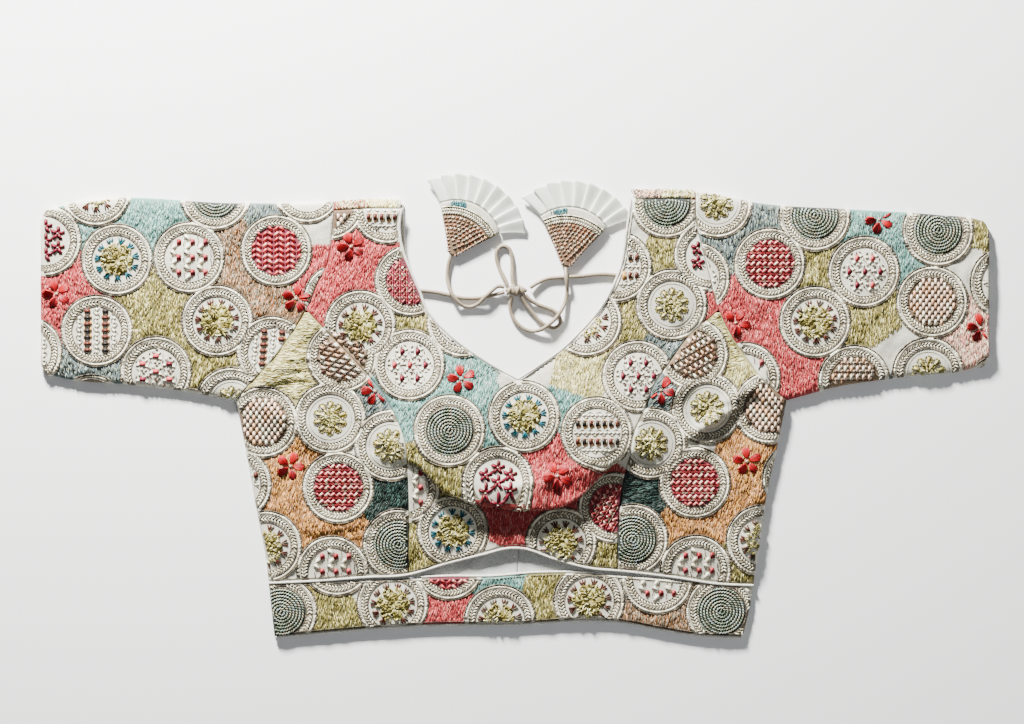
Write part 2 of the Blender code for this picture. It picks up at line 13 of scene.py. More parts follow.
import bmesh
import bpy
import numpy as np
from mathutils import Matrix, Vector


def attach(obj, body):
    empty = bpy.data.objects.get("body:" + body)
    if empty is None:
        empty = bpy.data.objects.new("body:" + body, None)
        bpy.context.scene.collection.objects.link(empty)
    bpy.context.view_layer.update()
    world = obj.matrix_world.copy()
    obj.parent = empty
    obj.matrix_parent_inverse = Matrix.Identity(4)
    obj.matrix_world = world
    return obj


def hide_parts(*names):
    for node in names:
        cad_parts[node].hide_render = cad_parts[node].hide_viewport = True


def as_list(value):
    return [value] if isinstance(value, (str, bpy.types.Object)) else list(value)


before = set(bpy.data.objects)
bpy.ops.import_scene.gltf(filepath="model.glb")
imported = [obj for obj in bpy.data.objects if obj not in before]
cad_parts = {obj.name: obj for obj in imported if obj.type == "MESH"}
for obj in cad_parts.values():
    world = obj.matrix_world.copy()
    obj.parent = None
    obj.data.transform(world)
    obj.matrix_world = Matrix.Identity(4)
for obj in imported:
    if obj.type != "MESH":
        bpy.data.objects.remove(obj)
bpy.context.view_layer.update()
MM = 0.001
QUARTER = math.pi / 2
SIDES = ((-1, "left"), (1, "right"))
RNG = np.random.default_rng(36)
print("frame nodes:", len(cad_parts))

# %% [markdown]
# ## Sizes
# One pixel of the photograph is 0.8333 mm of cloth, because half of a 36 inch bust is
# 549 pixels wide. The outlines are short tables in millimetres, and a smooth curve runs
# through each. They are the same lines that the pieces of the frame were cut on.

# %% Sizes and outlines
PHOTO = (1024, 724)
MM_PER_PIXEL = 0.8333
PHOTO_ORIGIN = (515.0, 413.5)  # the pixel over the blouse's origin
CLOTH, LINING, PIPING, CORD = 1.5, 1.0, 2.2, 3.2
SEAM_GAP, SEAM_INSET = 0.3, 0.12
FOLD_HEIGHT, SLEEVE_HEIGHT, BODICE_HEIGHT, BAND_HEIGHT = 3.3, 6.2, 8.0, 4.9
SHOULDER_WRAP, PILLOW_RUN = 7.0, 14.0
BUST_HEIGHT, LIP_HEIGHT, LIP_OVERHANG, LIP_SPREAD = 14.0, 8.5, 7.6, 82.0
CENTRE_X, NECK_POINT_Y, PRINCESS_TOP_Y = 2.5, 26.0, 84.0
CUFF_X, ARMPIT_Y, BACK_NECK_Y = 394.0, 11.0, -22.0

TOP_FOLD = [  # x, y
    (-394, 162), (-391, 168), (-384, 170.5), (-229, 175), (-179, 175), (-150, 176.5),
    (-121, 178), (-93, 178), (97, 186), (154, 185), (204, 175), (279, 170), (354, 165),
    (386, 161), (391, 159), (394, 153)]
SLEEVE_UNDER = [  # x, y
    (-394, 40), (-391, 34), (-382, 31), (-321, 24), (-271, 18), (-242, 12.5),
    (-232, 11), (226, 11), (237, 14), (262, 21), (321, 30), (382, 38), (391, 41), (394, 47)]
SIDE_SEAM = {  # y, x
    -1: [(-187, -200), (-160, -203), (-120, -207.5), (-75, -216), (-25, -225), (11, -232)],
    1: [(-187, 189), (-163, 195), (-137, 199), (-97, 205), (-65, 210), (-33, 217), (11, 226)]}
ARMHOLE = {  # y, x
    -1: [(11, -232), (23, -222), (41, -205), (63, -188), (89, -172), (110, -163),
         (127, -155), (145, -152.5), (178, -150)],
    1: [(11, 226), (25, 209), (45, 193), (68, 178), (87, 169), (118, 161), (140, 155),
        (156, 151), (186, 150)]}
PRINCESS = {  # y, x
    -1: [(-136, -89), (-90, -88), (-49, -89), (-20, -92), (6, -103), (15, -108),
         (31, -121), (45, -134), (69, -157), (86, -173)],
    1: [(-134, 85), (-90, 86), (-54, 90), (-38, 94), (-15, 99), (7, 109), (21, 114),
        (31, 120), (45, 130), (64, 144), (86, 169)]}
FRONT_NECK = {  # y, x
    -1: [(28, 2.5), (34, -8), (50, -34), (67, -56), (86, -73), (101, -79), (117, -86),
         (132, -92), (157, -96), (178, -92)],
    1: [(28, 2.5), (38, 17), (52, 37), (67, 53), (85, 69), (103, 80), (121, 87.5),
        (150, 92.5), (186, 97.5)]}
BACK_NECK_HALF = [  # y, half width
    (-22, 0), (-20, 18), (-15, 34), (-6, 47), (6, 58), (27, 70), (60, 80), (103, 88.5),
    (150, 95.5), (186, 96)]
BODICE_HEM = [  # x, y
    (-206, -141), (-164, -139), (-124, -136), (-90, -134), (-55, -124), (-27, -117),
    (-3, -111.5), (7, -112), (31, -120), (60, -128), (91, -131), (139, -137), (164, -141),
    (199, -143)]
BAND_TOP = [  # x, y
    (-206, -141), (-164, -139), (-124, -137.5), (-92, -136.5), (-55, -135), (-21, -135),
    (17, -132), (60, -132), (91, -134), (139, -138), (164, -141), (199, -143)]
BAND_HEM = [  # x, y
    (-200, -186), (-158, -182), (-109, -178), (-71, -176), (4, -175), (58, -172),
    (86, -173), (119, -179), (149, -184), (189, -186)]
BUST_FOLD = [  # x, y
    (-232, -48), (-150, -42), (-105, -38), (-77, -44), (-62, -58), (-47, -65), (-17, -72),
    (4, -74), (16, -74), (54, -64), (71, -49), (85, -37), (120, -36), (226, -48)]
BUSTS = [(-58, -12, 56, 56), (62, -12, 56, 56)]  # centre x, centre y, spread x, spread y
CREASES = [  # start x, start y, end x, end y, half width, height
    (146, -22, 208, 32, 8, 4.5), (192, 24, 226, -2, 7, 2.2), (121, 10, 150, 28, 7, 2.5),
    (152, -44, 205, -2, 8, -2.5), (-224, 16, -165, -18, 9, 3.4), (-215, -18, -150, -50, 9, -2.2),
    (-171, -89, -104, -97, 9, 2.4), (-60, -96, 40, -92, 9, -2.0), (100, -84, 180, -66, 10, 2.0),
    (185, 70, 232, 16, 7, 1.2), (-250, 60, -215, 130, 9, 1.0), (250, 60, 300, 120, 9, 1.0)]


def smooth(table, place):
    """The value of a smooth curve through a table's rows, at a place along it."""
    keys = np.array([row[0] for row in table], float)
    values = np.array([row[1] for row in table], float)
    slopes = np.gradient(values, keys)
    place = np.clip(place, keys[0], keys[-1])
    i = np.clip(np.searchsorted(keys, place) - 1, 0, len(keys) - 2)
    step = keys[i + 1] - keys[i]
    t = (place - keys[i]) / step
    return (
        values[i] * (1 + 2 * t) * (1 - t) ** 2
        + slopes[i] * step * t * (1 - t) ** 2
        + values[i + 1] * t * t * (3 - 2 * t)
        + slopes[i + 1] * step * t * t * (t - 1))


def ease(low, high, value):
    """0 below low, 1 above high, and a soft step between."""
    t = np.clip((value - low) / (high - low), 0, 1)
    return t * t * (3 - 2 * t)


def from_photo(px, py):
    """Millimetres on the blouse for a pixel of the photograph."""
    return (px - PHOTO_ORIGIN[0]) * MM_PER_PIXEL, (PHOTO_ORIGIN[1] - py) * MM_PER_PIXEL


# %% [markdown]
# ## The camera and the light
# The photograph looks straight down, so the camera hangs over the blouse with a long lens.
# The light comes from the top of the picture, low enough to throw the folds and the braids
# into relief, with a soft fill from all round.

# %% Camera, floor and lights
PHOTO_MIDDLE = from_photo(PHOTO[0] / 2, PHOTO[1] / 2)
LENS, SENSOR = 85.0, 36.0
camera_data = bpy.data.cameras.new("overhead_camera")
camera_data.lens, camera_data.sensor_width = LENS, SENSOR
camera = bpy.data.objects.new("overhead_camera", camera_data)
bpy.context.scene.collection.objects.link(camera)
CAMERA_HEIGHT = PHOTO[0] * MM_PER_PIXEL * MM * LENS / SENSOR
camera.location = (PHOTO_MIDDLE[0] * MM, PHOTO_MIDDLE[1] * MM, CAMERA_HEIGHT)
bpy.context.scene.camera = camera


def linear(code):
    """An sRGB hex colour as linear red, green and blue."""
    parts = [int(code[k : k + 2], 16) / 255 for k in (1, 3, 5)]
    return [c / 12.92 if c <= 0.04045 else ((c + 0.055) / 1.055) ** 2.4 for c in parts]


def node(tree, kind, links=(), **settings):
    """Adds a node, sets its properties and sockets, and links other sockets to it."""
    made = tree.nodes.new(kind)
    for name, value in settings.items():
        if hasattr(made, name):
            setattr(made, name, value)
        else:
            made.inputs[name.replace("_", " ")].default_value = value
    for source, target in links:
        tree.links.new(source, made.inputs[target])
    return made


def new_material(name):
    """A material with only its Principled shader and output, and its tree."""
    made = bpy.data.materials.new(name)
    made.use_nodes = True
    return made, made.node_tree, made.node_tree.nodes["Principled BSDF"]


def add_light(name, place, size, watts, colour):
    """A square lamp that shines at the blouse's origin."""
    data = bpy.data.lights.new(name, "AREA")
    data.shape, data.size, data.energy, data.color = "SQUARE", size, watts, colour
    made = bpy.data.objects.new(name, data)
    made.location = place
    made.rotation_euler = (-Vector(place)).to_track_quat("-Z", "Y").to_euler()
    bpy.context.scene.collection.objects.link(made)


add_light("window_key", (-0.5, 1.4, 0.62), 0.22, 218, (1.0, 0.985, 0.96))
add_light("soft_fill", (0.7, -0.4, 1.6), 1.2, 6, (0.95, 0.98, 1.0))
world = bpy.data.worlds.new("studio")
world.use_nodes = True
world.node_tree.nodes["Background"].inputs["Color"].default_value = (0.93, 0.95, 1.0, 1)
world.node_tree.nodes["Background"].inputs["Strength"].default_value = 0.15
bpy.context.scene.world = world

floor_mesh = bmesh.new()
bmesh.ops.create_grid(floor_mesh, x_segments=1, y_segments=1, size=9.0)
bmesh.ops.translate(floor_mesh, vec=(0, 0, -0.0003), verts=floor_mesh.verts)
floor_data = bpy.data.meshes.new("pale_floor")
floor_mesh.to_mesh(floor_data)
floor_mesh.free()
floor = bpy.data.objects.new("pale_floor", floor_data)
bpy.context.scene.collection.objects.link(floor)
FLOOR_PAINT, _, floor_shader = new_material("matt_white_paper")
floor_shader.inputs["Base Color"].default_value = (0.95, 0.95, 0.95, 1)
floor_shader.inputs["Roughness"].default_value = 0.9
floor_data.materials.append(FLOOR_PAINT)
print("camera height", round(CAMERA_HEIGHT, 3))

# %% [markdown]
# ## The form of the cloth
# The blouse is two layers that lie on each other. The upper one rounds down into the folds
# and side seams at its outline, lifts over the bust, and drops in a deep fold under it,
# where the spare cloth of the cups hangs over. One function gives its height at any place,
# so shells and stitches share it. Finer creases than the frame has are added here.

# %% Height of the upper layer
FRONT_MIDDLE = 2.0
UNDER_FOLD = 0.22  # share of the bust's height that is left under the fold
HEM_DROP, HEM_RUN, ARCH_SPREAD = 2.8, 26.0, 62.0  # the bodice thins towards its hem
FINE_CREASES = [  # start x, start y, end x, end y, half width, height
    (-200, 45, -164, 46, 2.6, 1.3), (-200, 37, -162, 38, 2.6, 1.2), (-200, 29, -164, 30, 2.6, 1.2),
    (142, -25, 179, -11, 4, -3.2), (179, -11, 197, 16, 4, -3.0), (146, -15, 176, -2, 5, 2.6),
    (197, 13, 220, -2, 4, -2.8), (200, 21, 222, 7, 5, 2.2), (-230, 9, -216, 18, 4, -2.4),
    (-216, 18, -190, 14, 4, -2.4), (-226, 18, -204, 26, 5, 1.8), (-100, -44, -48, -66, 5, 1.8),
    (150, -2, 214, 18, 4.0, -2.2), (138, -34, 196, 12, 4.5, -1.8), (176, 46, 204, 28, 4, 1.0),
    (-214, 22, -168, 26, 4.5, -1.4), (-206, 34, -176, 44, 4, 1.1), (-172, -104, -96, -90, 4, -1.6),
    (-150, -78, -100, -84, 4, 1.2), (-28, -64, 34, -54, 4, 1.6), (28, -66, 82, -46, 4.5, -2.2),
    (20, -54, 66, -36, 4.5, 1.6), (46, -86, 84, -92, 5, -1.6), (-74, -66, -40, -82, 5, -1.6),
    (-30, -98, 10, -104, 6, 1.2), (96, -30, 128, -44, 5, 1.2), (126, 58, 150, 82, 4, -1.0),
    (104, 6, 132, 2, 5, -1.4), (-126, -26, -98, -34, 5, -1.2), (-52, 40, -80, 72, 6, 0.8),
    (60, 44, 84, 78, 6, 0.8), (-196, -60, -206, -110, 5, 1.0), (188, -40, 196, -100, 5, 1.0),
    (-140, 150, -105, 166, 6, 0.7), (110, 168, 140, 160, 6, 0.7), (-30, 6, -6, 22, 5, 0.9),
    (-372, 60, -352, 120, 7, 0.6), (-330, 40, -300, 84, 6, 0.7), (-290, 120, -246, 150, 7, 0.7),
    (-268, 40, -236, 70, 6, 0.9), (240, 34, 276, 58, 6, 0.9), (206, 60, 236, 40, 4, 0.9),
    (330, 60, 352, 118, 7, 0.6), (290, 130, 340, 150, 7, 0.6), (362, 60, 380, 130, 6, 0.5),
    (190, 120, 222, 158, 7, 0.7)]


def by_side(tables, x, place):
    """A left or a right table's value, as x is left or right of the centre."""
    return np.where(x < CENTRE_X, smooth(tables[-1], place), smooth(tables[1], place))


def from_edge(x, y):
    """How far a point lies inside the folds and side seams of the blouse."""
    from_top = smooth(TOP_FOLD, x) - y
    from_under = y - smooth(SLEEVE_UNDER, x)
    from_side = np.abs(by_side(SIDE_SEAM, x, np.minimum(y, ARMPIT_Y))) - np.abs(x)
    return np.maximum(np.minimum(from_top, np.maximum(from_under, from_side)), 0)


def crease_height(x, y, creases):
    """Ridges and troughs along short lines, fading at their ends."""
    total = np.zeros_like(x)
    for x0, y0, x1, y1, width, height in creases:
        dx, dy = x1 - x0, y1 - y0
        t = np.clip(((x - x0) * dx + (y - y0) * dy) / (dx * dx + dy * dy), 0, 1)
        off = np.hypot(x - x0 - t * dx, y - y0 - t * dy)
        total += height * np.exp(-((off / width) ** 2)) * (0.25 + 0.75 * np.sin(math.pi * t))
    return total


def on_bodice(x, y):
    """1 on the bodice, 0 on the sleeves, with a soft change along the armhole."""
    outer = np.abs(by_side(ARMHOLE, x, np.clip(y, ARMPIT_Y, 178)))
    return ease(-16, 10, outer - np.abs(x))


def bust_fullness(x, y):
    """The cloth that the bust shaping lifts, and the fold that it drops into."""
    fold = smooth(BUST_FOLD, x)
    lift = sum(
        BUST_HEIGHT * np.exp(-(((x - cx) / sx) ** 2) - ((y - cy) / sy) ** 2)
        for cx, cy, sx, sy in BUSTS)
    across = np.exp(-(((x - FRONT_MIDDLE) / LIP_SPREAD) ** 2))
    lip = LIP_HEIGHT * across * np.exp(-(((y - fold - 9) / 17) ** 2))
    kept = UNDER_FOLD + (1 - UNDER_FOLD) * ease(-7, 4, y - fold)
    kept = 1 - (1 - kept) * np.clip(across * 1.5, 0, 1)
    return (lift + lip) * kept


def front_height(x, y):
    """Height of the outside of the upper layer above the surface."""
    bodice = on_bodice(x, y)
    base = SLEEVE_HEIGHT + (BODICE_HEIGHT - SLEEVE_HEIGHT) * bodice
    near_hem = 1 - ease(0, HEM_RUN, y - smooth(BODICE_HEM, x))
    arch = np.exp(-(((x - FRONT_MIDDLE) / ARCH_SPREAD) ** 2))
    base -= HEM_DROP * near_hem * (1 - 0.85 * arch)
    inside = np.clip(from_edge(x, y) / PILLOW_RUN, 0, 1)
    pillow = np.sqrt(1 - (1 - inside) ** 2)
    shaped = crease_height(x, y, CREASES + FINE_CREASES) + bust_fullness(x, y) * bodice
    return (
        FOLD_HEIGHT
        + (base - FOLD_HEIGHT) * pillow
        + shaped * ease(0, 26, from_edge(x, y)) * ease(-2, 12, y - smooth(BODICE_HEM, x)))


def lower_height(depth):
    """Height of the outside of the lower layer, which rounds up into a fold."""
    inside = np.clip(FOLD_HEIGHT - depth, 0, FOLD_HEIGHT)
    return FOLD_HEIGHT - np.sqrt(np.maximum(FOLD_HEIGHT**2 - inside**2, 0))


def band_height(x, y):
    """Height of the outside of the waistband, which drops at the side seams."""
    side = np.abs(by_side(SIDE_SEAM, x, np.clip(y, -187, -120)))
    edge = np.clip((side - np.abs(x)) / 7, 0, 1)
    return FOLD_HEIGHT + (BAND_HEIGHT - FOLD_HEIGHT) * np.sqrt(1 - (1 - edge) ** 2)


# %% [markdown]
# ## The chart of the embroidery
# Each medallion is a disc 58 mm across. The rows are grouped by the piece of cloth that they
# are on, and give a place in the photograph, the kind of motif and how far it is turned. The
# pieces were cut without matching, so a seam cuts straight through a medallion. Where two
# meet, each keeps the side that is nearer to its own centre.
# Letters: A and E gold flower with teal or brown tips, B rows of crimson dots, C pink scales,
# D rows of square beads, F coiled cord, G small crimson flowers, H dark stars on beige,
# I beige basket weave, J crimson lattice, K dots on branches, L olive flower.

# %% Medallions, patches and red flowers
MEDALLIONS = {  # px, py, kind, turn
    "front_centre": [
        (388, 209, "D", 0), (411, 281, "J", 90), (361, 326, "E", 0), (343, 357, "H", 42),
        (410, 365, "K", 0), (463, 322, "K", 0), (450, 430, "F", 0), (524, 416, "A", 0),
        (596, 432, "D", 0), (498, 481, "G", 0), (613, 507, "J", 60), (453, 530, "A", 15),
        (561, 542, "E", 0), (405, 487, "B", 0), (671, 305, "L", 0), (666, 203, "F", 0),
        (616, 267, "D", 0), (586, 321, "E", 0), (637, 376, "K", 0), (709, 256, "G", 0),
        (330, 205, "I", 0)],
    "front_side_left": [
        (264, 422, "I", 0), (331, 418, "L", 0), (391, 445, "L", 10), (339, 487, "J", 0),
        (237, 484, "D", 0), (267, 546, "E", 0), (333, 571, "B", 0), (399, 544, "F", 0),
        (343, 357, "H", 42)],
    "front_side_right": [
        (692, 354, "H", 30), (706, 408, "L", 0), (650, 443, "L", 0), (694, 482, "J", 0),
        (768, 408, "I", 0), (632, 539, "F", 0), (695, 570, "B", 0), (761, 540, "E", 0),
        (797, 478, "K", 0)],
    "sleeve_left": [
        (47, 241, "G", 0), (118, 260, "A", 0), (190, 258, "B", 0), (277, 251, "C", 0),
        (98, 331, "D", 90), (218, 321, "E", 0), (157, 372, "K", 90), (273, 352, "D", 86),
        (232, 403, "L", 0), (97, 191, "E", 0), (216, 195, "F", 0), (308, 188, "E", 0),
        (28, 352, "D", 90), (92, 410, "F", 0), (188, 424, "F", 0), (340, 300, "G", 0)],
    "sleeve_right": [
        (716, 203, "L", 0), (694, 278, "K", 0), (769, 264, "J", 0), (863, 272, "K", 0),
        (814, 322, "E", 0), (931, 302, "I", 0), (814, 216, "F", 0), (937, 231, "F", 0),
        (853, 381, "H", 0), (927, 373, "L", 0), (1004, 283, "D", 0), (744, 378, "B", 0),
        (1000, 390, "C", 0)],
    "waistband": [
        (282, 612, "F", 0), (337, 560, "B", 0), (393, 604, "E", 0), (449, 564, "C", 0),
        (500, 620, "E", 0), (589, 600, "E", 0), (657, 578, "B", 0), (721, 611, "F", 0)]}
PATCHES = {  # px, py, colour, direction of the threads
    "front_centre": [
        (345, 240, "pink", 85), (353, 275, "pink", 80), (375, 290, "pink", 80),
        (409, 325, "olive", 90), (460, 371, "teal", 82), (484, 421, "teal", 88),
        (567, 380, "straw", 86), (546, 463, "pink", 82), (579, 487, "pink", 78),
        (504, 526, "pink", 88), (513, 508, "pink", 88), (440, 473, "olive", 84),
        (609, 545, "olive", 90), (419, 551, "olive", 90), (488, 560, "cloth", 0),
        (664, 253, "olive", 90), (630, 315, "olive", 70), (669, 347, "slate", 60),
        (708, 299, "pink", 100), (625, 238, "cloth", 0), (560, 400, "teal", 80),
        (535, 372, "cloth", 0), (630, 420, "cloth", 0), (425, 400, "teal", 80),
        (340, 190, "straw", 0), (690, 200, "straw", 0)],
    "front_side_left": [
        (307, 446, "rust", 80), (283, 489, "rust", 84), (338, 530, "rust", 80),
        (388, 494, "forest", 70), (355, 448, "cloth", 0), (367, 395, "slate", 60),
        (290, 384, "straw", 2), (298, 360, "straw", 0), (366, 575, "cloth", 0),
        (300, 585, "cloth", 0)],
    "front_side_right": [
        (747, 473, "rust", 82), (689, 525, "rust", 80), (730, 505, "rust", 80),
        (639, 491, "forest", 4), (738, 578, "olive", 90), (672, 445, "cloth", 0),
        (665, 400, "slate", 40), (728, 356, "straw", 4), (740, 380, "straw", 90),
        (660, 575, "cloth", 0)],
    "sleeve_left": [
        (52, 300, "pink", 88), (75, 275, "pink", 88), (51, 320, "pink", 88),
        (143, 217, "teal", 90), (86, 228, "teal", 90), (262, 211, "slate", 90),
        (234, 239, "tan", 92), (242, 269, "tan", 92), (267, 300, "tan", 80),
        (158, 313, "olive", 90), (212, 363, "olive", 84), (101, 374, "slate", 96),
        (60, 372, "slate", 100), (313, 222, "cloth", 0), (295, 368, "straw", 90),
        (318, 270, "pink", 90)],
    "sleeve_right": [
        (762, 212, "slate", 90), (719, 247, "slate", 90), (856, 216, "teal", 90),
        (897, 243, "teal", 88), (878, 222, "teal", 88), (814, 270, "olive", 90),
        (874, 330, "olive", 88), (747, 302, "pink", 90), (740, 335, "pink", 90),
        (797, 367, "pink", 92), (960, 266, "cloth", 0), (978, 226, "olive", 90),
        (965, 338, "blush", 88), (985, 320, "blush", 88), (890, 350, "cloth", 0),
        (895, 395, "slate", 90)],
    "waistband": [
        (338, 606, "olive", 90), (447, 612, "pink", 88), (501, 579, "teal", 90),
        (544, 594, "olive", 88), (630, 614, "tan", 84), (665, 618, "tan", 86),
        (365, 583, "cloth", 0), (620, 583, "cloth", 0), (690, 615, "tan", 86),
        (750, 590, "cloth", 0)]}
RED_FLOWERS = {  # px, py, turn
    "front_centre": [
        (352, 247, 20), (462, 379, 12), (557, 475, 30)],
    "front_side_left": [
        (376, 391, 16), (291, 466, -20)],
    "front_side_right": [
        (660, 390, 40), (746, 461, 6)],
    "sleeve_left": [
        (58, 294, 18), (297, 299, -8)],
    "sleeve_right": [
        (735, 323, 44), (878, 220, 24), (979, 328, 10)]}
R_EDGE, R_SATIN, R_INNER, R_BRAID_OUT, R_BRAID_IN, R_DISC = 29.0, 27.8, 25.8, 24.2, 21.9, 20.2


def chart_of(piece):
    """A piece's medallion centres in millimetres, their kinds and turns."""
    rows = MEDALLIONS[piece]
    centres = np.array([from_photo(row[0], row[1]) for row in rows])
    return centres, [row[2] for row in rows], [math.radians(row[3]) for row in rows]


def nearest(centres, x, y):
    """The index of the nearest centre to each point, and its distance."""
    away = np.hypot(x[..., None] - centres[:, 0], y[..., None] - centres[:, 1])
    return away.argmin(-1), away.min(-1)


def medallion_at(piece, x, y):
    """The medallion at each point and its reach; the bust fold hides what it covers."""
    centres, _, _ = chart_of(piece)
    away = np.hypot(x[..., None] - centres[:, 0], y[..., None] - centres[:, 1])
    if piece == "front_centre":
        above = centres[:, 1] > smooth(BUST_FOLD, centres[:, 0])
        under = y[..., None] < smooth(BUST_FOLD, x)[..., None] - 1.5
        away = away + 60 * ((above == under) & (np.abs(x[..., None]) < 98))
    return away.argmin(-1), away.min(-1)


RIM, PAD, BAND_PAD = 0.35, 0.5, 0.3  # round a medallion, on its disc, under its border
BROAD, FINE, SLACK = 0.75, 0.32, 0.5  # puckers of the loose ground


def relief(piece, x, y):
    """How the embroidery puffs and pulls the cloth: rim, padded disc and loose ground."""
    _, r = medallion_at(piece, x, y)
    rim = -RIM * np.exp(-(((r - 30.6) / 2.4) ** 2))
    padded = PAD * np.clip(1 - (r / 20) ** 2, 0, 1)
    padded = padded + BAND_PAD * np.exp(-(((r - 26.0) / 3.4) ** 2))
    broad = BROAD * np.sin(x / 5.1 + 0.7 * np.sin(y / 8)) * np.sin(y / 6.3 + 0.4 * np.sin(x / 9))
    fine = FINE * np.sin(x / 2.1 + 1.3 * np.sin(y / 3.7)) * np.sin(y / 2.9 + 1.1 * np.sin(x / 4.3))
    slack = SLACK * np.sin(x / 13 + 1.1 * np.sin(y / 17)) * np.sin(y / 11 + 0.9 * np.sin(x / 19))
    return rim + padded + slack + (broad + fine) * ease(29, 33, r)


def surface(piece, x, y):
    """The place of a point of the upper cloth, in millimetres."""
    x, y = np.asarray(x, float), np.asarray(y, float)
    edge_fade = ease(0, 6, from_edge(x, y))
    if piece == "waistband":
        edge_fade = ease(0, 3, y - smooth(BAND_HEM, x)) * ease(0, 3, smooth(BAND_TOP, x) - y)
        return np.stack([x, y, band_height(x, y) + 0.8 * relief(piece, x, y) * edge_fade], -1)
    fold = smooth(BUST_FOLD, x)
    across = np.exp(-(((x - FRONT_MIDDLE) / 74) ** 4))
    drop = LIP_OVERHANG * across * np.exp(-(((y - fold - 3) / 6) ** 2))
    height = front_height(x, y) + relief(piece, x, y) * edge_fade
    return np.stack([x, y - drop, height], -1)


for label, chart in (("medallions", MEDALLIONS), ("patches", PATCHES), ("flowers", RED_FLOWERS)):
    print(label, sum(map(len, chart.values())))

# %% [markdown]
# ## Dyes and threads
# Rayon embroidery thread is twisted from shiny filaments, so each stitch catches the light
# along its length. The ground is an off-white cotton silk. Every colour is written once,
# as the sRGB value read from the photograph, and named for its dye.

# %% Colours
GROUND = {
    "cloth": "#C6C4B2", "white": "#D3D0BC", "braid": "#746B57", "pink": "#963230",
    "teal": "#5C877C", "olive": "#665F2D", "straw": "#9D965F", "tan": "#654C2F",
    "rust": "#845A2A", "forest": "#16231D", "slate": "#596763", "blush": "#B08F7B",
    "coil": "#1B211A", "beige": "#66503A", "fawn": "#8A7458", "wine": "#6E1F30"}
DISC_GROUND = {
    "A": "white", "B": "white", "C": "wine", "D": "white", "E": "white", "F": "coil",
    "G": "white", "H": "fawn", "I": "beige", "J": "wine", "K": "white", "L": "cloth"}
THREAD = {
    "charcoal": "#33312B", "umber": "#51483C", "taupe": "#7B7162", "ash": "#9F9780",
    "ivory": "#E3DFCA", "cream": "#DDD6BC", "gold": "#9C8E49", "old_gold": "#6F6530",
    "pale_gold": "#D6CE93", "teal": "#005864", "deep_teal": "#033641", "brown": "#4F2213",
    "copper": "#A15E36", "crimson": "#66021C", "rose": "#B24143", "pale_rose": "#D08379",
    "brick": "#9C2E32", "red": "#8C0009", "deep_red": "#540007", "bright_red": "#A6000A",
    "moss": "#6A755F", "sage": "#9AA48F", "peach": "#DCBDA3", "olive": "#857F42",
    "aqua": "#93BBAF", "mist": "#5A857C", "sand": "#C79C76", "rust": "#8E5927",
    "amber": "#C9954C", "pine": "#10241D", "spruce": "#35524A", "steel": "#55656A",
    "silver": "#9DAAA3", "straw": "#DFDAAC", "blackish": "#1F1812", "white": "#E9E6D5"}
THREAD_NAMES = list(THREAD)
THREAD_RGB = np.array([linear(code) for code in THREAD.values()])
PATCH_THREADS = {
    "pink": ("rose", "pale_rose", "rose", "brick"),
    "teal": ("aqua", "mist", "aqua", "silver", "mist"),
    "olive": ("gold", "olive", "pale_gold", "old_gold"), "straw": ("straw", "pale_gold", "gold"),
    "tan": ("sand", "taupe", "rust", "ash"), "rust": ("amber", "rust", "amber", "sand"),
    "forest": ("pine", "spruce", "pine", "pine"),
    "slate": ("steel", "silver", "sage", "charcoal"), "blush": ("peach", "pale_rose", "cream"),
    "cloth": ()}


def polar(radius, angle):
    """A place at a distance and an angle from the middle."""
    return radius * np.cos(angle), radius * np.sin(angle)


def lay(x, y, angle, length, width, rise, threads):
    """Rows of stitches: place, direction, length, width, height and thread."""
    columns = np.broadcast_arrays(*map(np.asarray, (x, y, angle, length, width, rise)))
    picks = RNG.choice([THREAD_NAMES.index(name) for name in threads], columns[0].size)
    return np.stack([c.ravel().astype(float) for c in columns] + [picks], 1)


def round_row(radius, step, lean, length, width, rise, threads):
    """Stitches round a circle; lean turns them off the tangent."""
    a = np.arange(int(2 * math.pi * radius / step)) * step / radius
    return lay(*polar(radius, a), a + QUARTER + lean, length, width, rise, threads)


def within(rows, radius):
    """Only the stitches that lie within a disc."""
    reach = np.hypot(rows[:, 0], rows[:, 1]) + 0.3 * rows[:, 3]
    return rows[reach < radius]


# %% [markdown]
# ## Stitches of the borders and motifs
# A border is a smooth white band between two dark outlines, then a braid: two rows of
# plump, leaning stitches over a dark ground, which shows between them. Each motif is a
# short function of loops and angles in its own millimetres, centred on its medallion.
# None is drawn from points of the picture. Dense motifs are padded: wide, flat stitches
# lie under the fine ones, as an embroiderer pads satin stitch.

# %% Border and fillings
OUTLINE = ("umber", "charcoal", "taupe", "taupe")
LEAF = ("cream", "ash", "cream", "ivory")


def border():
    """Outlines, satin band and braid, from the edge inwards."""
    return np.concatenate([
        round_row(R_EDGE + 0.8, 2.6, 0, 3.4, 1.0, 1.2, ("umber", "charcoal", "taupe")),
        round_row(R_SATIN, 3.1, 0, 5.8, 3.2, 0.35, ("cream", "cream", "ash")),
        round_row(R_INNER + 0.2, 2.5, 0, 3.0, 0.8, 0.9, OUTLINE),
        round_row(R_BRAID_OUT + 0.5, 2.7, 0.8, 3.6, 1.5, 1.0, LEAF),
        round_row(R_BRAID_IN + 0.4, 2.7, -0.8, 3.6, 1.5, 1.0, LEAF),
        round_row(R_DISC + 0.3, 2.4, 0, 3.0, 0.9, 0.9, OUTLINE)])


def curl(cx, cy, radius, width, threads, count=7):
    """A small loop of thread, as a row of short stitches round it."""
    a = np.arange(count) * 2 * math.pi / count
    x, y = cx + radius * np.cos(a), cy + radius * np.sin(a)
    return lay(x, y, a + QUARTER, radius * 6.0 / count, width, 1.1, threads)


def dot(cx, cy, size, threads, rise=1.6):
    """A padded dot, as one short, wide stitch."""
    return lay(cx, cy, QUARTER, size * 1.15, size, rise, threads)


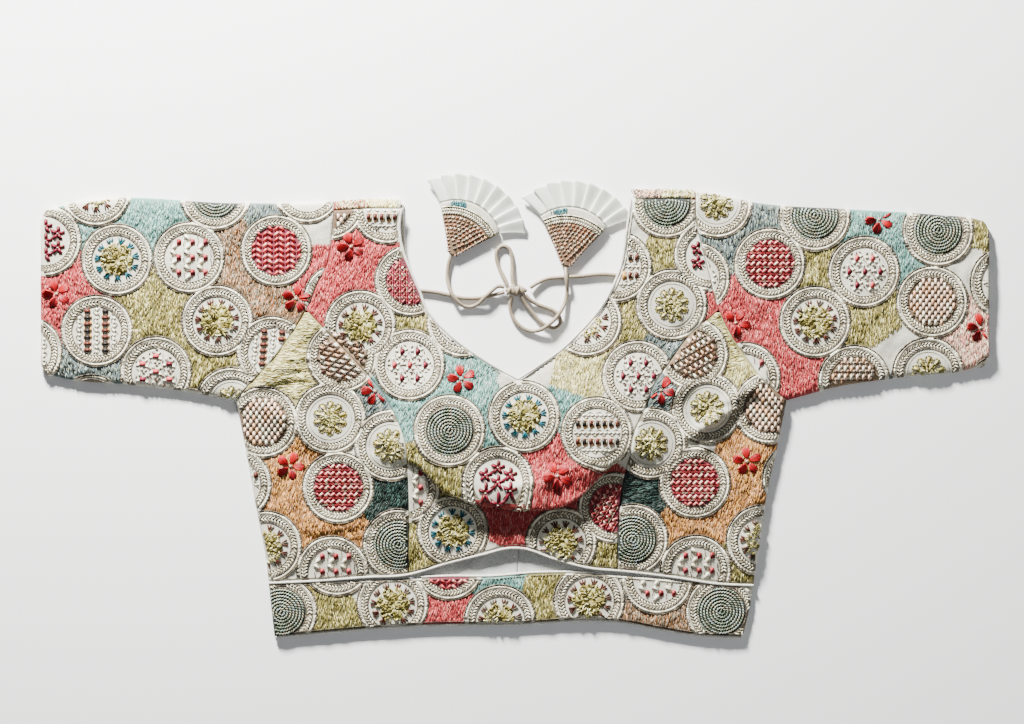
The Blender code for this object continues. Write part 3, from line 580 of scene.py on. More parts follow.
def hexagon(distance, turn=0.0):
    """The centre and six places round it."""
    a = np.arange(6) * math.pi / 3 + turn
    return [(0.0, 0.0)] + list(zip(distance * np.cos(a), distance * np.sin(a)))


# %% Flowers
def gold_heart(radius, count, threads):
    """A crowded heart of loops and knots over padding."""
    ring = np.arange(6) * math.pi / 3
    pad = radius * 0.5
    a = RNG.uniform(0, 2 * math.pi, count)
    out = radius * np.sqrt(RNG.uniform(0.02, 0.95, count))
    lean = RNG.normal(0, 0.8, count)
    rows = [
        lay(*polar(pad, ring), ring, radius, radius * 0.8, 1.2, ("old_gold", "olive")),
        lay(*polar(out, a), a + lean, 3.6, 1.25, 2.3, threads)]
    for k in range(7):
        b = k * 2 * math.pi / 7
        rows.append(curl(*polar(radius * 0.62, b), 1.9, 0.95, ("pale_gold", "straw", "gold")))
    return np.concatenate(rows)


def gold_flower(tips):
    """The heart, with eleven fans of three stitches that open outwards."""
    rows = [gold_heart(14.2, 116, ("gold", "pale_gold", "olive", "old_gold", "gold", "straw"))]
    for k in range(11):
        a = k * 2 * math.pi / 11 + 0.2
        spread = a + np.array([-0.46, 0, 0.46])
        x = 12.8 * math.cos(a) + 3.1 * np.cos(spread)
        y = 12.8 * math.sin(a) + 3.1 * np.sin(spread)
        rows.append(lay(x, y, spread, 6.4, 1.7, 1.5, tips))
    return np.concatenate(rows)


def olive_flower():
    """Ten scalloped petals, outlined and veined, round the heart."""
    rows = [round_row(17.6, 2.4, 0, 2.8, 0.5, 0.4, ("ash",))]
    for k in range(10):
        a = k * math.pi / 5 + 0.3
        veins = a + np.array([-0.25, 0.25])
        rows.append(lay(*polar(10.6, a), a, 6.6, 4.6, 1.0, ("gold", "olive")))
        rows.append(curl(*polar(11.2, a), 2.9, 1.15, ("old_gold", "umber", "olive", "gold"), 8))
        rows.append(lay(*polar(10.4, a), veins, 4.6, 1.0, 2.1, ("pale_gold", "straw", "gold")))
    rows.append(gold_heart(8.0, 46, ("olive", "pale_gold", "straw", "old_gold")))
    return np.concatenate(rows)


def small_flower(cx, cy, size):
    """Five plump petals round an ivory knot."""
    a = np.arange(5) * 2 * math.pi / 5 + 0.3
    x, y = cx + 0.52 * size * np.cos(a), cy + 0.52 * size * np.sin(a)
    petals = lay(x, y, a, size * 0.96, size * 0.64, 1.6, ("crimson", "crimson", "deep_red"))
    return np.concatenate([petals, lay(cx, cy, 0, 1.6, 1.3, 2.2, ("ivory",))])


def crimson_flowers():
    """Seven small flowers, joined by short stems."""
    rows = []
    for cx, cy in hexagon(11.8, math.pi / 6):
        rows.append(small_flower(cx, cy, 6.3))
    for k in range(6):
        a = k * math.pi / 3 + math.pi / 6
        rows.append(lay(*polar(5.9, a), a, 3.4, 0.9, 0.8, ("crimson", "deep_red")))
        b = a + math.pi / 6
        rows.append(lay(*polar(10.2, b), b + QUARTER, 3.6, 0.9, 0.8, ("crimson", "deep_red")))
    return np.concatenate(rows)


def red_flower():
    """Five satin-stitched petals; the threads of each fill a notched oval. The upper petals carry
    painted light and the lower ones painted shade.
    """
    rows = []
    for k in range(5):
        a = k * 2 * math.pi / 5 + QUARTER
        c, s = math.cos(a), math.sin(a)
        off = np.linspace(-3.6, 3.6, 7)
        length = 11.6 * (1 - (off / 5.6) ** 2) - 1.0 * np.exp(-((off / 0.9) ** 2))
        # Painted light and shade: the three upper petals take the brighter reds and the two lower
        # ones the darker reds.
        tone = ("bright_red", "red", "red") if k in (0, 1, 4) else ("red", "deep_red", "red")
        along, aside = 7.3 - 0.12 * np.abs(off), 0.66 * off
        rows.append(lay(7.4 * c, 7.4 * s, a, 9.0, 5.0, 1.2, ("deep_red",)))
        x, y = along * c - aside * s, along * s + aside * c
        rows.append(lay(x, y, a + off * 0.075, length, 1.75, 2.0, tone))
    rows.append(lay(0, 0, np.array([0.3, 1.4, 2.5]), 3.2, 0.7, 2.2, ("peach",)))
    return np.concatenate(rows)


# %% Dots, beads and coils
def crimson_dots():
    """Rows of dots between dark lines, with white puffs beside the dots."""
    rows = []
    for x in (-19.4, -8.8, 2.6, 13.2):
        for y in (-12.2, 0.2, 12.8):
            y += 4.2 if x < -15 else 0
            rows.append(dot(x, y, 5.0, ("red", "rose", "brick"), 1.8))
            rows.append(dot(x, y - 0.3, 2.7, ("crimson", "deep_red"), 2.6))
            puff, lean = y + np.array([-4.0, 4.0]), np.array([1.0, -1.0])
            rows.append(lay(x - 4.0, puff, 0.9 * lean, 6.6, 4.4, 1.7, ("ivory", "cream")))
            rows.append(lay(x - 1.6, puff, 1.2 * lean, 4.2, 0.6, 1.5, ("ash", "taupe")))
        y = np.arange(-18, 18.1, 2.4)
        rows.append(lay(x + 5.0 + 0.6 * np.sin(y), y, QUARTER, 2.8, 0.7, 1.2, ("taupe", "umber")))
    return within(np.concatenate(rows), 20.4)


def beads():
    """Two rows of square beads in satin stitch, with wavy lines between."""
    rows = []
    x = np.arange(-16.2, 16.3, 5.4)
    for y in (-7.4, 7.4):
        rows.append(lay(x + 0.6, y, QUARTER, 7.6, 5.4, 1.3, ("amber", "sand", "sand")))
        rows.append(lay(x, y + 0.3, QUARTER, 5.8, 4.6, 2.4, ("brown", "blackish", "brown")))
        rows.append(lay(x + 2.7, y, QUARTER, 3.4, 0.8, 1.4, ("cream",)))
    for y in (-14.4, 0.0, 14.4):
        wave = np.arange(-18, 18.1, 2.0)
        for shift in (-1.3, 1.3):
            rise, slope = 1.2 * np.sin(wave * 0.9), 0.8 * np.cos(wave * 0.9)
            rows.append(lay(wave, y + shift + rise, slope, 2.7, 0.65, 0.9, ("taupe", "umber")))
        puff = np.arange(-17.5, 17.6, 3.5)
        rows.append(lay(puff, y + 1.6 * np.sin(puff * 0.9), 0.3, 3.4, 2.2, 1.2, ("ivory",)))
    return within(np.concatenate(rows), 20.2)


def coil():
    """A twisted cord couched in a spiral; its strands lean across it."""
    pitch = 2.6
    a = [2.2]
    while a[-1] * pitch < 2 * math.pi * 20.2:
        a.append(a[-1] + 2.35 / (pitch / (2 * math.pi) * a[-1] + 0.4))
    a = np.array(a)
    r = pitch / (2 * math.pi) * a
    cord = ("sage", "moss", "silver", "ash", "sage")
    return lay(*polar(r, a), a + QUARTER + 0.45, 3.0, 1.4, 1.7, cord)


def dots_on_branches():
    """Seven dots in thin five-petalled loops, joined by branches."""
    rows = []
    for cx, cy in hexagon(12.8):
        a = np.arange(5) * 2 * math.pi / 5 + 0.5
        rows.append(lay(cx + 4.2 * np.cos(a), cy + 4.2 * np.sin(a), a, 3.4, 2.6, 1.0, ("ivory",)))
        rows.append(dot(cx, cy, 5.0, ("crimson", "rose", "crimson"), 2.0))
        b = np.arange(10) * math.pi / 5 + 0.5
        ring = 5.0 + 0.9 * (np.arange(10) % 2)
        x, y = cx + ring * np.cos(b), cy + ring * np.sin(b)
        rows.append(lay(x, y, b + QUARTER, 2.8, 0.75, 1.1, ("taupe", "umber", "brown")))
    for k in range(6):
        a = k * math.pi / 3
        rows.append(lay(*polar(6.4, a), a + 0.2, 4.4, 0.7, 0.8, ("deep_red", "taupe")))
    return within(np.concatenate(rows), 20.2)


# %% Woven fillings
def scales():
    """Rows of plump puffs that lean left and right in turn, as a zigzag."""
    rows = []
    for y in np.arange(-18.6, 19, 4.65):
        x = np.arange(-23.5, 23.6, 4.7)
        lean = np.where(np.arange(len(x)) % 2, 0.8, -0.8)
        rows.append(lay(x, y, lean, 5.2, 3.5, 2.1, ("rose", "pale_rose", "rose", "brick")))
    return within(np.concatenate(rows), 21.6)


def basket():
    """Plump puffs on a diamond lattice, with dark threads laid between them."""
    rows = []
    for j, y in enumerate(np.arange(-20.4, 20.5, 3.4)):
        x = np.arange(-20, 20.1, 5.0) + (2.5 if j % 2 else 0)
        rows.append(lay(x, y, QUARTER, 5.7, 4.0, 1.7, ("peach", "sand", "peach", "cream")))
        rows.append(lay(x + 1.25, y + 1.7, -0.94, 3.8, 0.5, 1.8, ("umber", "brown", "taupe")))
        rows.append(lay(x - 1.25, y + 1.7, 0.94, 3.8, 0.5, 1.8, ("umber", "taupe")))
    return within(np.concatenate(rows), 21.4)


def stars():
    """The same lattice with dark three-armed stars laid over every other puff."""
    rows = [basket()]
    for j, y in enumerate(np.arange(-17.0, 17.1, 3.4)):
        x = np.arange(-20, 20.1, 5.0) + (0 if j % 2 else 2.5)
        if j % 2:
            for lean in (QUARTER, 0.5, -0.5):
                rows.append(lay(x, y + 1.2, lean, 3.8, 0.7, 2.4, ("umber", "brown")))
    return within(np.concatenate(rows), 21.4)


def lattice():
    """Rows of pale diamonds crossed by crimson threads, with a twisted bar between rows."""
    rows = []
    for y in np.arange(-17.5, 17.6, 5.83):
        x = np.arange(-19.2, 19.3, 4.8)
        rows.append(lay(x, y, 0.8, 4.6, 3.1, 1.6, ("pale_rose", "peach", "pale_rose")))
        rows.append(lay(x + 2.4, y, -0.8, 4.2, 2.0, 1.6, ("rose", "pale_rose", "brick")))
        zigzag = np.where(np.arange(len(x)) % 2, 0.8, -0.8)
        rows.append(lay(x + 1.2, y, zigzag, 4.6, 0.6, 2.4, ("crimson",)))
        x = np.arange(-20, 20.1, 2.6)
        rows.append(lay(x, y + 2.92, 0.2, 3.2, 0.9, 1.6, ("brick", "ash", "rose", "pale_rose")))
    return within(np.concatenate(rows), 20.6)


MOTIF = {
    "A": lambda: gold_flower(("teal", "deep_teal", "teal")), "B": crimson_dots, "C": scales,
    "D": beads, "E": lambda: gold_flower(("brown", "umber", "brown")), "F": coil,
    "G": crimson_flowers, "H": stars, "I": basket, "J": lattice, "K": dots_on_branches,
    "L": olive_flower}
print("stitches in a medallion:", {k: len(f()) for k, f in MOTIF.items()}, "border", len(border()))

# %% [markdown]
# ## Which piece a point is on
# A stitch that would cross a seam is left off, as the cutter's shears cut it through. The
# test compares a point with the seam lines, with a little margin for the seam itself.

# %% Inside tests and clipping
SEAM_MARGIN = 0.9
NECK_CLEAR = 1.6  # from the neck's edge to the nearest stitch, before the margin


def band_top(x):
    """The line that the waistband's cloth reaches up to."""
    return np.minimum(smooth(BAND_TOP, x), smooth(BODICE_HEM, x))


def inside_piece(piece, x, y, margin=SEAM_MARGIN):
    """True where a point lies on the piece, clear of its edges."""
    side = -1 if "left" in piece else 1
    ax = np.abs(x)
    left = x < CENTRE_X
    across = 1.3 * margin  # the seams slope, so a level distance is longer than a square one
    armhole = np.abs(by_side(ARMHOLE, x, np.clip(y, ARMPIT_Y, 186)))
    princess = np.abs(by_side(PRINCESS, x, np.clip(y, -136, 86)))
    seam = np.abs(by_side(SIDE_SEAM, x, np.clip(y, -187, ARMPIT_Y)))
    above_hem = y > smooth(BODICE_HEM, x) + PIPING / 2 + margin
    below_top = y < smooth(TOP_FOLD, x) - margin
    if piece == "waistband":
        low, high = smooth(BAND_HEM, x) + PIPING / 2, band_top(x) - PIPING / 2
        return (ax < seam - margin) & (y < high - margin) & (y > low + margin)
    if piece.startswith("sleeve"):
        along = (np.sign(x) == side) & (ax > armhole + across) & (ax < CUFF_X - margin)
        return along & below_top & (y > smooth(SLEEVE_UNDER, x) + margin)
    if piece.startswith("front_side"):
        outer = np.where(y < ARMPIT_Y, seam, armhole)
        between = (ax > princess + across) & (ax < outer - across)
        return (np.sign(x) == side) & (y < PRINCESS_TOP_Y) & above_hem & between
    neck = np.where(left, smooth(FRONT_NECK[-1], y), smooth(FRONT_NECK[1], y))
    beyond_neck = np.where(left, x < neck - NECK_CLEAR - margin, x > neck + NECK_CLEAR + margin)
    beyond_neck = beyond_neck | (y < NECK_POINT_Y - margin)
    outer = np.where(y < PRINCESS_TOP_Y, princess, armhole)
    below_strip = y < smooth(TOP_FOLD, x) - SHOULDER_WRAP - 1
    return above_hem & below_strip & beyond_neck & (ax < outer - across)


def placed(rows, cx, cy, turn):
    """Rows of stitches turned and moved to their medallion."""
    moved = rows.copy()
    c, s = math.cos(turn), math.sin(turn)
    moved[:, 0] = cx + rows[:, 0] * c - rows[:, 1] * s
    moved[:, 1] = cy + rows[:, 0] * s + rows[:, 1] * c
    moved[:, 2] += turn
    return moved


def ends_of(rows):
    """The two ends of every stitch."""
    dx = np.cos(rows[:, 2]) * rows[:, 3] / 2
    dy = np.sin(rows[:, 2]) * rows[:, 3] / 2
    return (rows[:, 0] - dx, rows[:, 1] - dy), (rows[:, 0] + dx, rows[:, 1] + dy)


def clipped(piece, rows):
    """Only the stitches whose two ends and middle lie on the piece."""
    keep = inside_piece(piece, rows[:, 0], rows[:, 1])
    across = rows.copy()
    across[:, 2] += QUARTER
    across[:, 3] = rows[:, 4]
    for ex, ey in (*ends_of(rows), *ends_of(across)):
        keep &= inside_piece(piece, ex, ey, SEAM_MARGIN * 0.5)
    return rows[keep]


# %% Stitches of the patches, the painted shade beside the pipings, and a whole piece
PATCH_DENSITY = 0.42  # stitches on each square millimetre
PATCH_LENGTHS, PATCH_WIDTH, PATCH_RISE = (2.8, 5.2), 0.8, 0.8
PATCH_SWAY = 0.14  # how far the threads turn off their patch's direction, in radians


def patch_seeds(piece):
    """The places that a piece's patches grow from, and their rows."""
    rows = PATCHES[piece]
    return np.array([from_photo(row[0], row[1]) for row in rows]), rows


def patch_stitches(piece, box):
    """Long, loose satin stitches over the patches between the medallions."""
    seeds, rows = patch_seeds(piece)
    (x0, y0), (x1, y1) = box
    count = int((x1 - x0) * (y1 - y0) * PATCH_DENSITY)
    x, y = RNG.uniform(x0, x1, count), RNG.uniform(y0, y1, count)
    _, r = medallion_at(piece, x, y)
    keep = (r > R_EDGE + 1.4) & inside_piece(piece, x, y)
    x, y = x[keep], y[keep]
    which, _ = nearest(seeds, x, y)
    made = []
    for k, row in enumerate(rows):
        threads = PATCH_THREADS[row[2]]
        here = which == k
        if threads and here.any():
            n = int(here.sum())
            angle = math.radians(row[3]) + RNG.normal(0, PATCH_SWAY, n)
            length = RNG.uniform(*PATCH_LENGTHS, n)
            made.append(lay(x[here], y[here], angle, length, PATCH_WIDTH, PATCH_RISE, threads))
    made = clipped(piece, np.concatenate(made))
    reach = [medallion_at(piece, *end)[1] for end in ends_of(made)]
    return made[np.minimum(*reach) > R_EDGE + 0.9]


# The rows of dark stitches beside the pipings are painted shade: they lie where each raised piping's
# shade line falls.
PIPING_SHADE_OFFSET = 2.7  # from a piping's middle to the row of dark stitches beside it, which is painted shade
PIPING_SHADE_THREADS = ("umber", "charcoal", "taupe")


def piping_shade_row(x, y):
    """A row of short dark stitches along a line of points: painted shade, as the shade line beside a
    raised piping.
    """
    angle = np.arctan2(np.gradient(y), np.gradient(x))
    return lay(x, y, angle, 3.0, 0.8, 0.8, PIPING_SHADE_THREADS)


def piping_shade_rows(piece):
    """The rows of dark stitches beside the pipings of a piece: painted shade along each raised
    piping.
    """
    rows = []
    if piece == "front_centre":
        for side in (-1, 1):
            y = np.arange(34.0, 168.0, 2.4)
            x = smooth(FRONT_NECK[side], y) + side * PIPING_SHADE_OFFSET * slant(FRONT_NECK[side], y)
            rows.append(piping_shade_row(x, y))
    if piece.startswith("front"):
        x = np.arange(-204.0, 198.0, 2.5)
        rows.append(piping_shade_row(x, smooth(BODICE_HEM, x) + PIPING_SHADE_OFFSET))
    if piece == "waistband":
        x = np.arange(-199.0, 190.0, 2.5)
        rows.append(piping_shade_row(x, smooth(BAND_HEM, x) + PIPING_SHADE_OFFSET))
        rows.append(piping_shade_row(x, band_top(x) - PIPING_SHADE_OFFSET))
    return rows


def piece_stitches(piece, box):
    """Every stitch of one piece of cloth."""
    centres, kinds, turns = chart_of(piece)
    groups = []
    for k, (centre, kind, turn) in enumerate(zip(centres, kinds, turns)):
        rows = placed(np.concatenate([border(), MOTIF[kind]()]), centre[0], centre[1], turn)
        closest, reach = medallion_at(piece, rows[:, 0], rows[:, 1])
        groups.append(rows[(closest == k) & (reach < R_EDGE + 2)])
    patch = patch_stitches(piece, box)
    for px, py, turn in RED_FLOWERS.get(piece, ()):
        cx, cy = from_photo(px, py)
        groups.append(placed(red_flower(), cx, cy, math.radians(turn)))
    return clipped(piece, np.concatenate(groups + piping_shade_rows(piece) + [patch]))


# %% [markdown]
# ## Materials
# The ground is a plain weave of cotton and silk, dull with a soft sheen. The thread is
# rayon: smooth, and brighter along the filaments. The weave is finer than a pixel here,
# so it is drawn at about three times its real spacing, which still reads as cloth.

# %% Cloth and thread materials
WEAVE_MM = 1.1  # drawn coarse: the real spacing is about 0.35 mm


def woven(tree, streak):
    """Noise as fine as the weave, and a tone from it and from wear."""
    place = node(tree, "ShaderNodeTexCoord")
    weave = node(tree, "ShaderNodeMapping", [(place.outputs["Object"], "Vector")])
    weave.inputs["Scale"].default_value = (1, streak, 1)
    scale = 1 / (WEAVE_MM * MM)
    threads = [(weave.outputs[0], "Vector")]
    grain = node(tree, "ShaderNodeTexNoise", threads, Scale=scale, Detail=2.0)
    broad = node(tree, "ShaderNodeTexNoise", [(place.outputs["Object"], "Vector")], Scale=45.0)
    tone = node(tree, "ShaderNodeMapRange", [(grain.outputs["Fac"], "Value")])
    wear = node(tree, "ShaderNodeMapRange", [(broad.outputs["Fac"], "Value")])
    ranges = ((tone, 0.3, 0.7, 0.72, 1.12), (wear, 0.0, 1.0, 0.85, 1.1))
    for spread, low, high, dark, light in ranges:
        spread.inputs["From Min"].default_value, spread.inputs["From Max"].default_value = low, high
        spread.inputs["To Min"].default_value, spread.inputs["To Max"].default_value = dark, light
    links = [(tone.outputs[0], 0), (wear.outputs[0], 1)]
    return grain, node(tree, "ShaderNodeMath", links, operation="MULTIPLY")


def ringed_dye(tree):
    """The dye of a point, from its medallion, its patch and its reach from the middle."""
    reach = node(tree, "ShaderNodeAttribute", attribute_name="reach").outputs["Fac"]
    dye = node(tree, "ShaderNodeAttribute", attribute_name="disc_dye").outputs["Color"]
    patch = node(tree, "ShaderNodeAttribute", attribute_name="patch_dye").outputs["Color"]
    for edge, code in ((R_DISC, GROUND["braid"]), (R_INNER, GROUND["white"]), (R_EDGE + 0.4, None)):
        beyond = node(tree, "ShaderNodeMath", [(reach, 0)], operation="GREATER_THAN")
        beyond.inputs[1].default_value = edge
        mix = node(tree, "ShaderNodeMix", data_type="RGBA")
        tree.links.new(beyond.outputs[0], mix.inputs["Factor"])
        tree.links.new(dye, mix.inputs[6])
        if code:
            mix.inputs[7].default_value = (*linear(code), 1)
        else:
            tree.links.new(patch, mix.inputs[7])
        dye = mix.outputs[2]
    return dye


def cloth_material(name, code=None, roughness=0.85, bump=0.25, streak=1.0):
    """A woven cloth: one dye, or the embroidered ground's; the weave follows its place."""
    made, tree, shader = new_material(name)
    if code:
        dye = node(tree, "ShaderNodeRGB").outputs[0]
        dye.default_value = (*linear(code), 1)
    else:
        dye = ringed_dye(tree)
    grain, tone = woven(tree, streak)
    links = [(dye, 0), (tone.outputs[0], "Scale")]
    shade = node(tree, "ShaderNodeVectorMath", links, operation="SCALE")
    tree.links.new(shade.outputs[0], shader.inputs["Base Color"])
    links = [(grain.outputs["Fac"], "Height")]
    raised = node(tree, "ShaderNodeBump", links, Strength=bump, Distance=0.0006)
    tree.links.new(raised.outputs[0], shader.inputs["Normal"])
    shader.inputs["Roughness"].default_value = roughness
    shader.inputs["Sheen Weight"].default_value = 0.07
    shader.inputs["Sheen Roughness"].default_value = 0.5
    return made


GROUND_CLOTH = cloth_material("cotton_silk_ground")
COTTON = cloth_material("cotton_lining", code="#C4C6C2", roughness=0.9, bump=0.15)
BIAS = cloth_material("satin_bias", code="#D3CFC2", roughness=0.5, bump=0.2, streak=0.35)
ROULEAU = cloth_material("rouleau_satin", code="#8A7D68", roughness=0.5, bump=0.3, streak=0.4)

RAYON, rayon_tree, rayon_shader = new_material("rayon_thread")
rayon_dye = node(rayon_tree, "ShaderNodeAttribute", attribute_name="dye")
rayon_tree.links.new(rayon_dye.outputs["Color"], rayon_shader.inputs["Base Color"])
rayon_shader.inputs["Roughness"].default_value = 0.48
rayon_shader.inputs["Sheen Weight"].default_value = 0.03
rayon_shader.inputs["Specular IOR Level"].default_value = 0.32

# %% [markdown]
# ## Shells of cloth
# A panel starts as a flat grid, and every point is then put in its place by rows and
# columns between two seam lines, like the threads of the cloth. Solidify gives the wall
# its thickness, inward from the outside face. The dye is stored on the points.

# %% Making a shell
SHOWN = bpy.data.collections.new("choli_blouse_shown")
bpy.context.scene.collection.children.link(SHOWN)


def grid_of(places):
    """A grid of faces with its corners at an array of places, in metres."""
    rows, columns = places.shape[:2]
    bm = bmesh.new()
    bmesh.ops.create_grid(bm, x_segments=columns - 1, y_segments=rows - 1, size=1)
    for vert in bm.verts:
        i = round((vert.co.x + 1) / 2 * (columns - 1))
        j = round((vert.co.y + 1) / 2 * (rows - 1))
        vert.co = places[j, i]
    return bm


def mesh_of(bm, name):
    """A mesh from a bmesh, which is freed."""
    mesh = bpy.data.meshes.new(name)
    bm.to_mesh(mesh)
    bm.free()
    return mesh


def grid_object(name, x, y, z, material, wall, flip=False, closed=False, offset=-1):
    """A cloth shell from arrays of points, one row for each row of the grid."""
    bm = grid_of(np.stack([x, y, z], -1) * MM)
    if closed:
        bmesh.ops.remove_doubles(bm, verts=bm.verts, dist=1e-6)
    if flip:
        bmesh.ops.reverse_faces(bm, faces=bm.faces)
    return shell_object(name, mesh_of(bm, name), material, wall, offset)


def show(name, data):
    """An object of the blouse, on its one body."""
    made = bpy.data.objects.new(name, data)
    SHOWN.objects.link(made)
    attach(made, "root")
    return made


def shell_object(name, mesh, material, wall, offset=-1):
    """A mesh as cloth: Solidify gives it the wall."""
    mesh.materials.append(material)
    mesh.shade_smooth()
    made = bpy.data.objects.new(name, mesh)
    SHOWN.objects.link(made)
    thick = made.modifiers.new("Cloth", "SOLIDIFY")
    thick.thickness, thick.offset = wall * MM, offset
    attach(made, "root")
    return made


def points_of(mesh):
    """The mesh's points as an array, in millimetres."""
    flat = np.empty(len(mesh.vertices) * 3)
    mesh.vertices.foreach_get("co", flat)
    return flat.reshape(-1, 3) / MM


def store_dye(mesh, reach, disc, patch):
    """Stores what ringed_dye reads: a number and two colours for each point."""
    mesh.attributes.new("reach", "FLOAT", "POINT").data.foreach_set("value", reach)
    for name, colour in (("disc_dye", disc), ("patch_dye", patch)):
        rgba = np.concatenate([colour, np.ones((len(colour), 1))], 1)
        mesh.attributes.new(name, "FLOAT_COLOR", "POINT").data.foreach_set("color", rgba.ravel())


def dyes(names):
    """Linear colours of some of the ground's dyes, by name."""
    return np.array([linear(GROUND[name]) for name in names])


def dye_shell(made, piece):
    """Gives each point the dye of its nearest medallion and its nearest patch."""
    x, y, _ = points_of(made.data).T
    _, kinds, _ = chart_of(piece)
    seeds, rows = patch_seeds(piece)
    which, reach = medallion_at(piece, x, y)
    patch, _ = nearest(seeds, x, y)
    disc = dyes([DISC_GROUND[kind] for kind in kinds])[which]
    store_dye(made.data, reach, disc, dyes([row[2] for row in rows])[patch])


def meet(level, edge, start):
    """The x at which rows, y as a function of x, meet an edge, x as one of y."""
    x = start
    for _ in range(30):
        x = 0.5 * x + 0.5 * edge(level(x))
    return x


def slant(table, place):
    """How much longer a sloping line is than its run in y."""
    return np.sqrt(1 + (smooth(table, place + 0.5) - smooth(table, place - 0.5)) ** 2)


def set_off(table, out):
    """A seam line, as a function of y, moved by a distance square to itself."""
    return lambda y: smooth(table, y) + out * slant(table, y)


def outer_edge(side):
    """The side seam, and the armhole above it, a hair inside the seam line."""
    def edge(y):
        table = SIDE_SEAM[side] if y < ARMPIT_Y else ARMHOLE[side]
        return smooth(table, y) - side * SEAM_INSET * slant(table, y)

    return edge


def row_levels(guides, counts):
    """Rows as functions of x, evenly between each pair of guide lines."""
    rows = []
    for (low, high), count in zip(zip(guides, guides[1:]), counts):
        for k in range(count):
            rows.append(lambda x, a=low, b=high, w=k / count: a(x) * (1 - w) + b(x) * w)
    rows.append(guides[-1])
    return rows


# %% Front panels
FRONT_COUNTS, FRONT_COLUMNS = (36, 22, 52, 30, 46), 56
FRONT_ROWS = row_levels(
    [
        lambda x: smooth(BODICE_HEM, x) + PIPING / 2 + 0.1,
        lambda x: smooth(BUST_FOLD, x) - 10,
        lambda x: smooth(BUST_FOLD, x) + 12,
        lambda x: NECK_POINT_Y + 0 * x,
        lambda x: PRINCESS_TOP_Y + 0 * x,
        lambda x: smooth(TOP_FOLD, x) - SHOULDER_WRAP - 3 * SEAM_GAP],
    FRONT_COUNTS)
NECK_ROW, PRINCESS_ROW = sum(FRONT_COUNTS[:3]), sum(FRONT_COUNTS[:4])


def rows_between(spans, levels, columns, bias=1.0):
    """Arrays of x and y for rows that run between pairs of ends."""
    share = 1 - (1 - np.linspace(0, 1, columns + 1)) ** bias
    x = np.array([start + (end - start) * share for start, end in spans])
    y = np.array([level(row) for level, row in zip(levels, x)])
    return x, y


def front_centre_shell():
    """Two halves that meet on the centre line below the neck point."""
    whole = bmesh.new()
    for side in (-1, 1):
        spans = []
        for j, level in enumerate(FRONT_ROWS):
            table = PRINCESS[side] if j <= PRINCESS_ROW else ARMHOLE[side]
            start = CENTRE_X
            if j > NECK_ROW:
                neck = set_off(FRONT_NECK[side], side * (PIPING / 2 + 0.1))
                start = meet(level, neck, side * 60.0)
            end = meet(level, set_off(table, -side * SEAM_INSET), side * 120.0)
            spans.append((float(start), float(end)))
        x, y = rows_between(spans, FRONT_ROWS, FRONT_COLUMNS)
        half = grid_of(surface("front_centre", x, y) * MM)
        if side < 0:
            bmesh.ops.reverse_faces(half, faces=half.faces)
        mesh = mesh_of(half, "half")
        whole.from_mesh(mesh)
        bpy.data.meshes.remove(mesh)
    bmesh.ops.remove_doubles(whole, verts=whole.verts, dist=1e-5)
    mesh = mesh_of(whole, "cloth_front_centre")
    return shell_object("cloth_front_centre", mesh, GROUND_CLOTH, CLOTH)


def front_side_shell(side, piece):
    """A side front, from its princess seam to its side seam and armhole."""
    levels = FRONT_ROWS[: PRINCESS_ROW + 1]
    spans = []
    for level in levels:
        start = meet(level, lambda y: smooth(PRINCESS[side], y), side * 100.0)
        start += side * SEAM_INSET * slant(PRINCESS[side], level(start))
        spans.append((float(start), float(meet(level, outer_edge(side), side * 200.0))))
    x, y = rows_between(spans, levels, FRONT_COLUMNS, 1.15)
    x, y, z = np.moveaxis(surface(piece, x, y), -1, 0)
    return grid_object("cloth_" + piece, x, y, z, GROUND_CLOTH, CLOTH, flip=side < 0)


# %% Sleeves and waistband
SLEEVE_STATIONS, SLEEVE_COLUMNS = 118, 60
ARMHOLE_GAP = 0.0012  # share of the sleeve's length that is left to the seam


def sleeve_shell(side, piece):
    """A flat tube: the ring runs down the upper layer and back along the lower."""
    s = np.linspace(ARMHOLE_GAP, 1, SLEEVE_STATIONS + 1)[:, None]
    turn = np.linspace(0, 2, 2 * SLEEVE_COLUMNS + 1)[None, :]
    upper = turn <= 1
    t = 0.5 - 0.5 * np.cos(math.pi * np.where(upper, turn, 2 - turn))
    t = 0.55 * t + 0.45 * np.where(upper, turn, 2 - turn)
    top_x = float(smooth(ARMHOLE[side], smooth(TOP_FOLD, side * 150.0)))
    top_y = float(smooth(TOP_FOLD, top_x))
    under_x = float(smooth(ARMHOLE[side], ARMPIT_Y))

    def top(a):
        x = top_x + (side * CUFF_X - top_x) * a
        return np.stack(np.broadcast_arrays(x, smooth(TOP_FOLD, x)), -1)

    def under(a):
        x = under_x + (side * CUFF_X - under_x) * a
        return np.stack(np.broadcast_arrays(x, smooth(SLEEVE_UNDER, x)), -1)

    def armhole(b):
        y = top_y + (ARMPIT_Y - top_y) * b
        return np.stack(np.broadcast_arrays(smooth(ARMHOLE[side], y), y), -1)

    one, s3, t3 = np.ones((1, 1)), s[..., None], t[..., None]
    cuff = top(one) * (1 - t3) + under(one) * t3
    rails = top(s) * (1 - t3) + under(s) * t3
    ends = armhole(t) * (1 - s3) + cuff * s3
    corners = (top(0 * one) * (1 - t3) + under(0 * one) * t3) * (1 - s3) + cuff * s3
    plan = rails + ends - corners
    x, y = plan[..., 0], plan[..., 1]
    depth = np.minimum(smooth(TOP_FOLD, x) - y, y - smooth(SLEEVE_UNDER, x))
    high = surface(piece, x, y)[..., 2]
    low = lower_height(np.maximum(depth, 0))
    z = np.where(np.broadcast_to(upper, x.shape), high, low)
    on_fold = np.broadcast_to((t < 1e-6) | (t > 1 - 1e-6), x.shape)
    z = np.where(on_fold, FOLD_HEIGHT, z)
    return grid_object("cloth_" + piece, x, y, z, GROUND_CLOTH, CLOTH, flip=side < 0, closed=True)


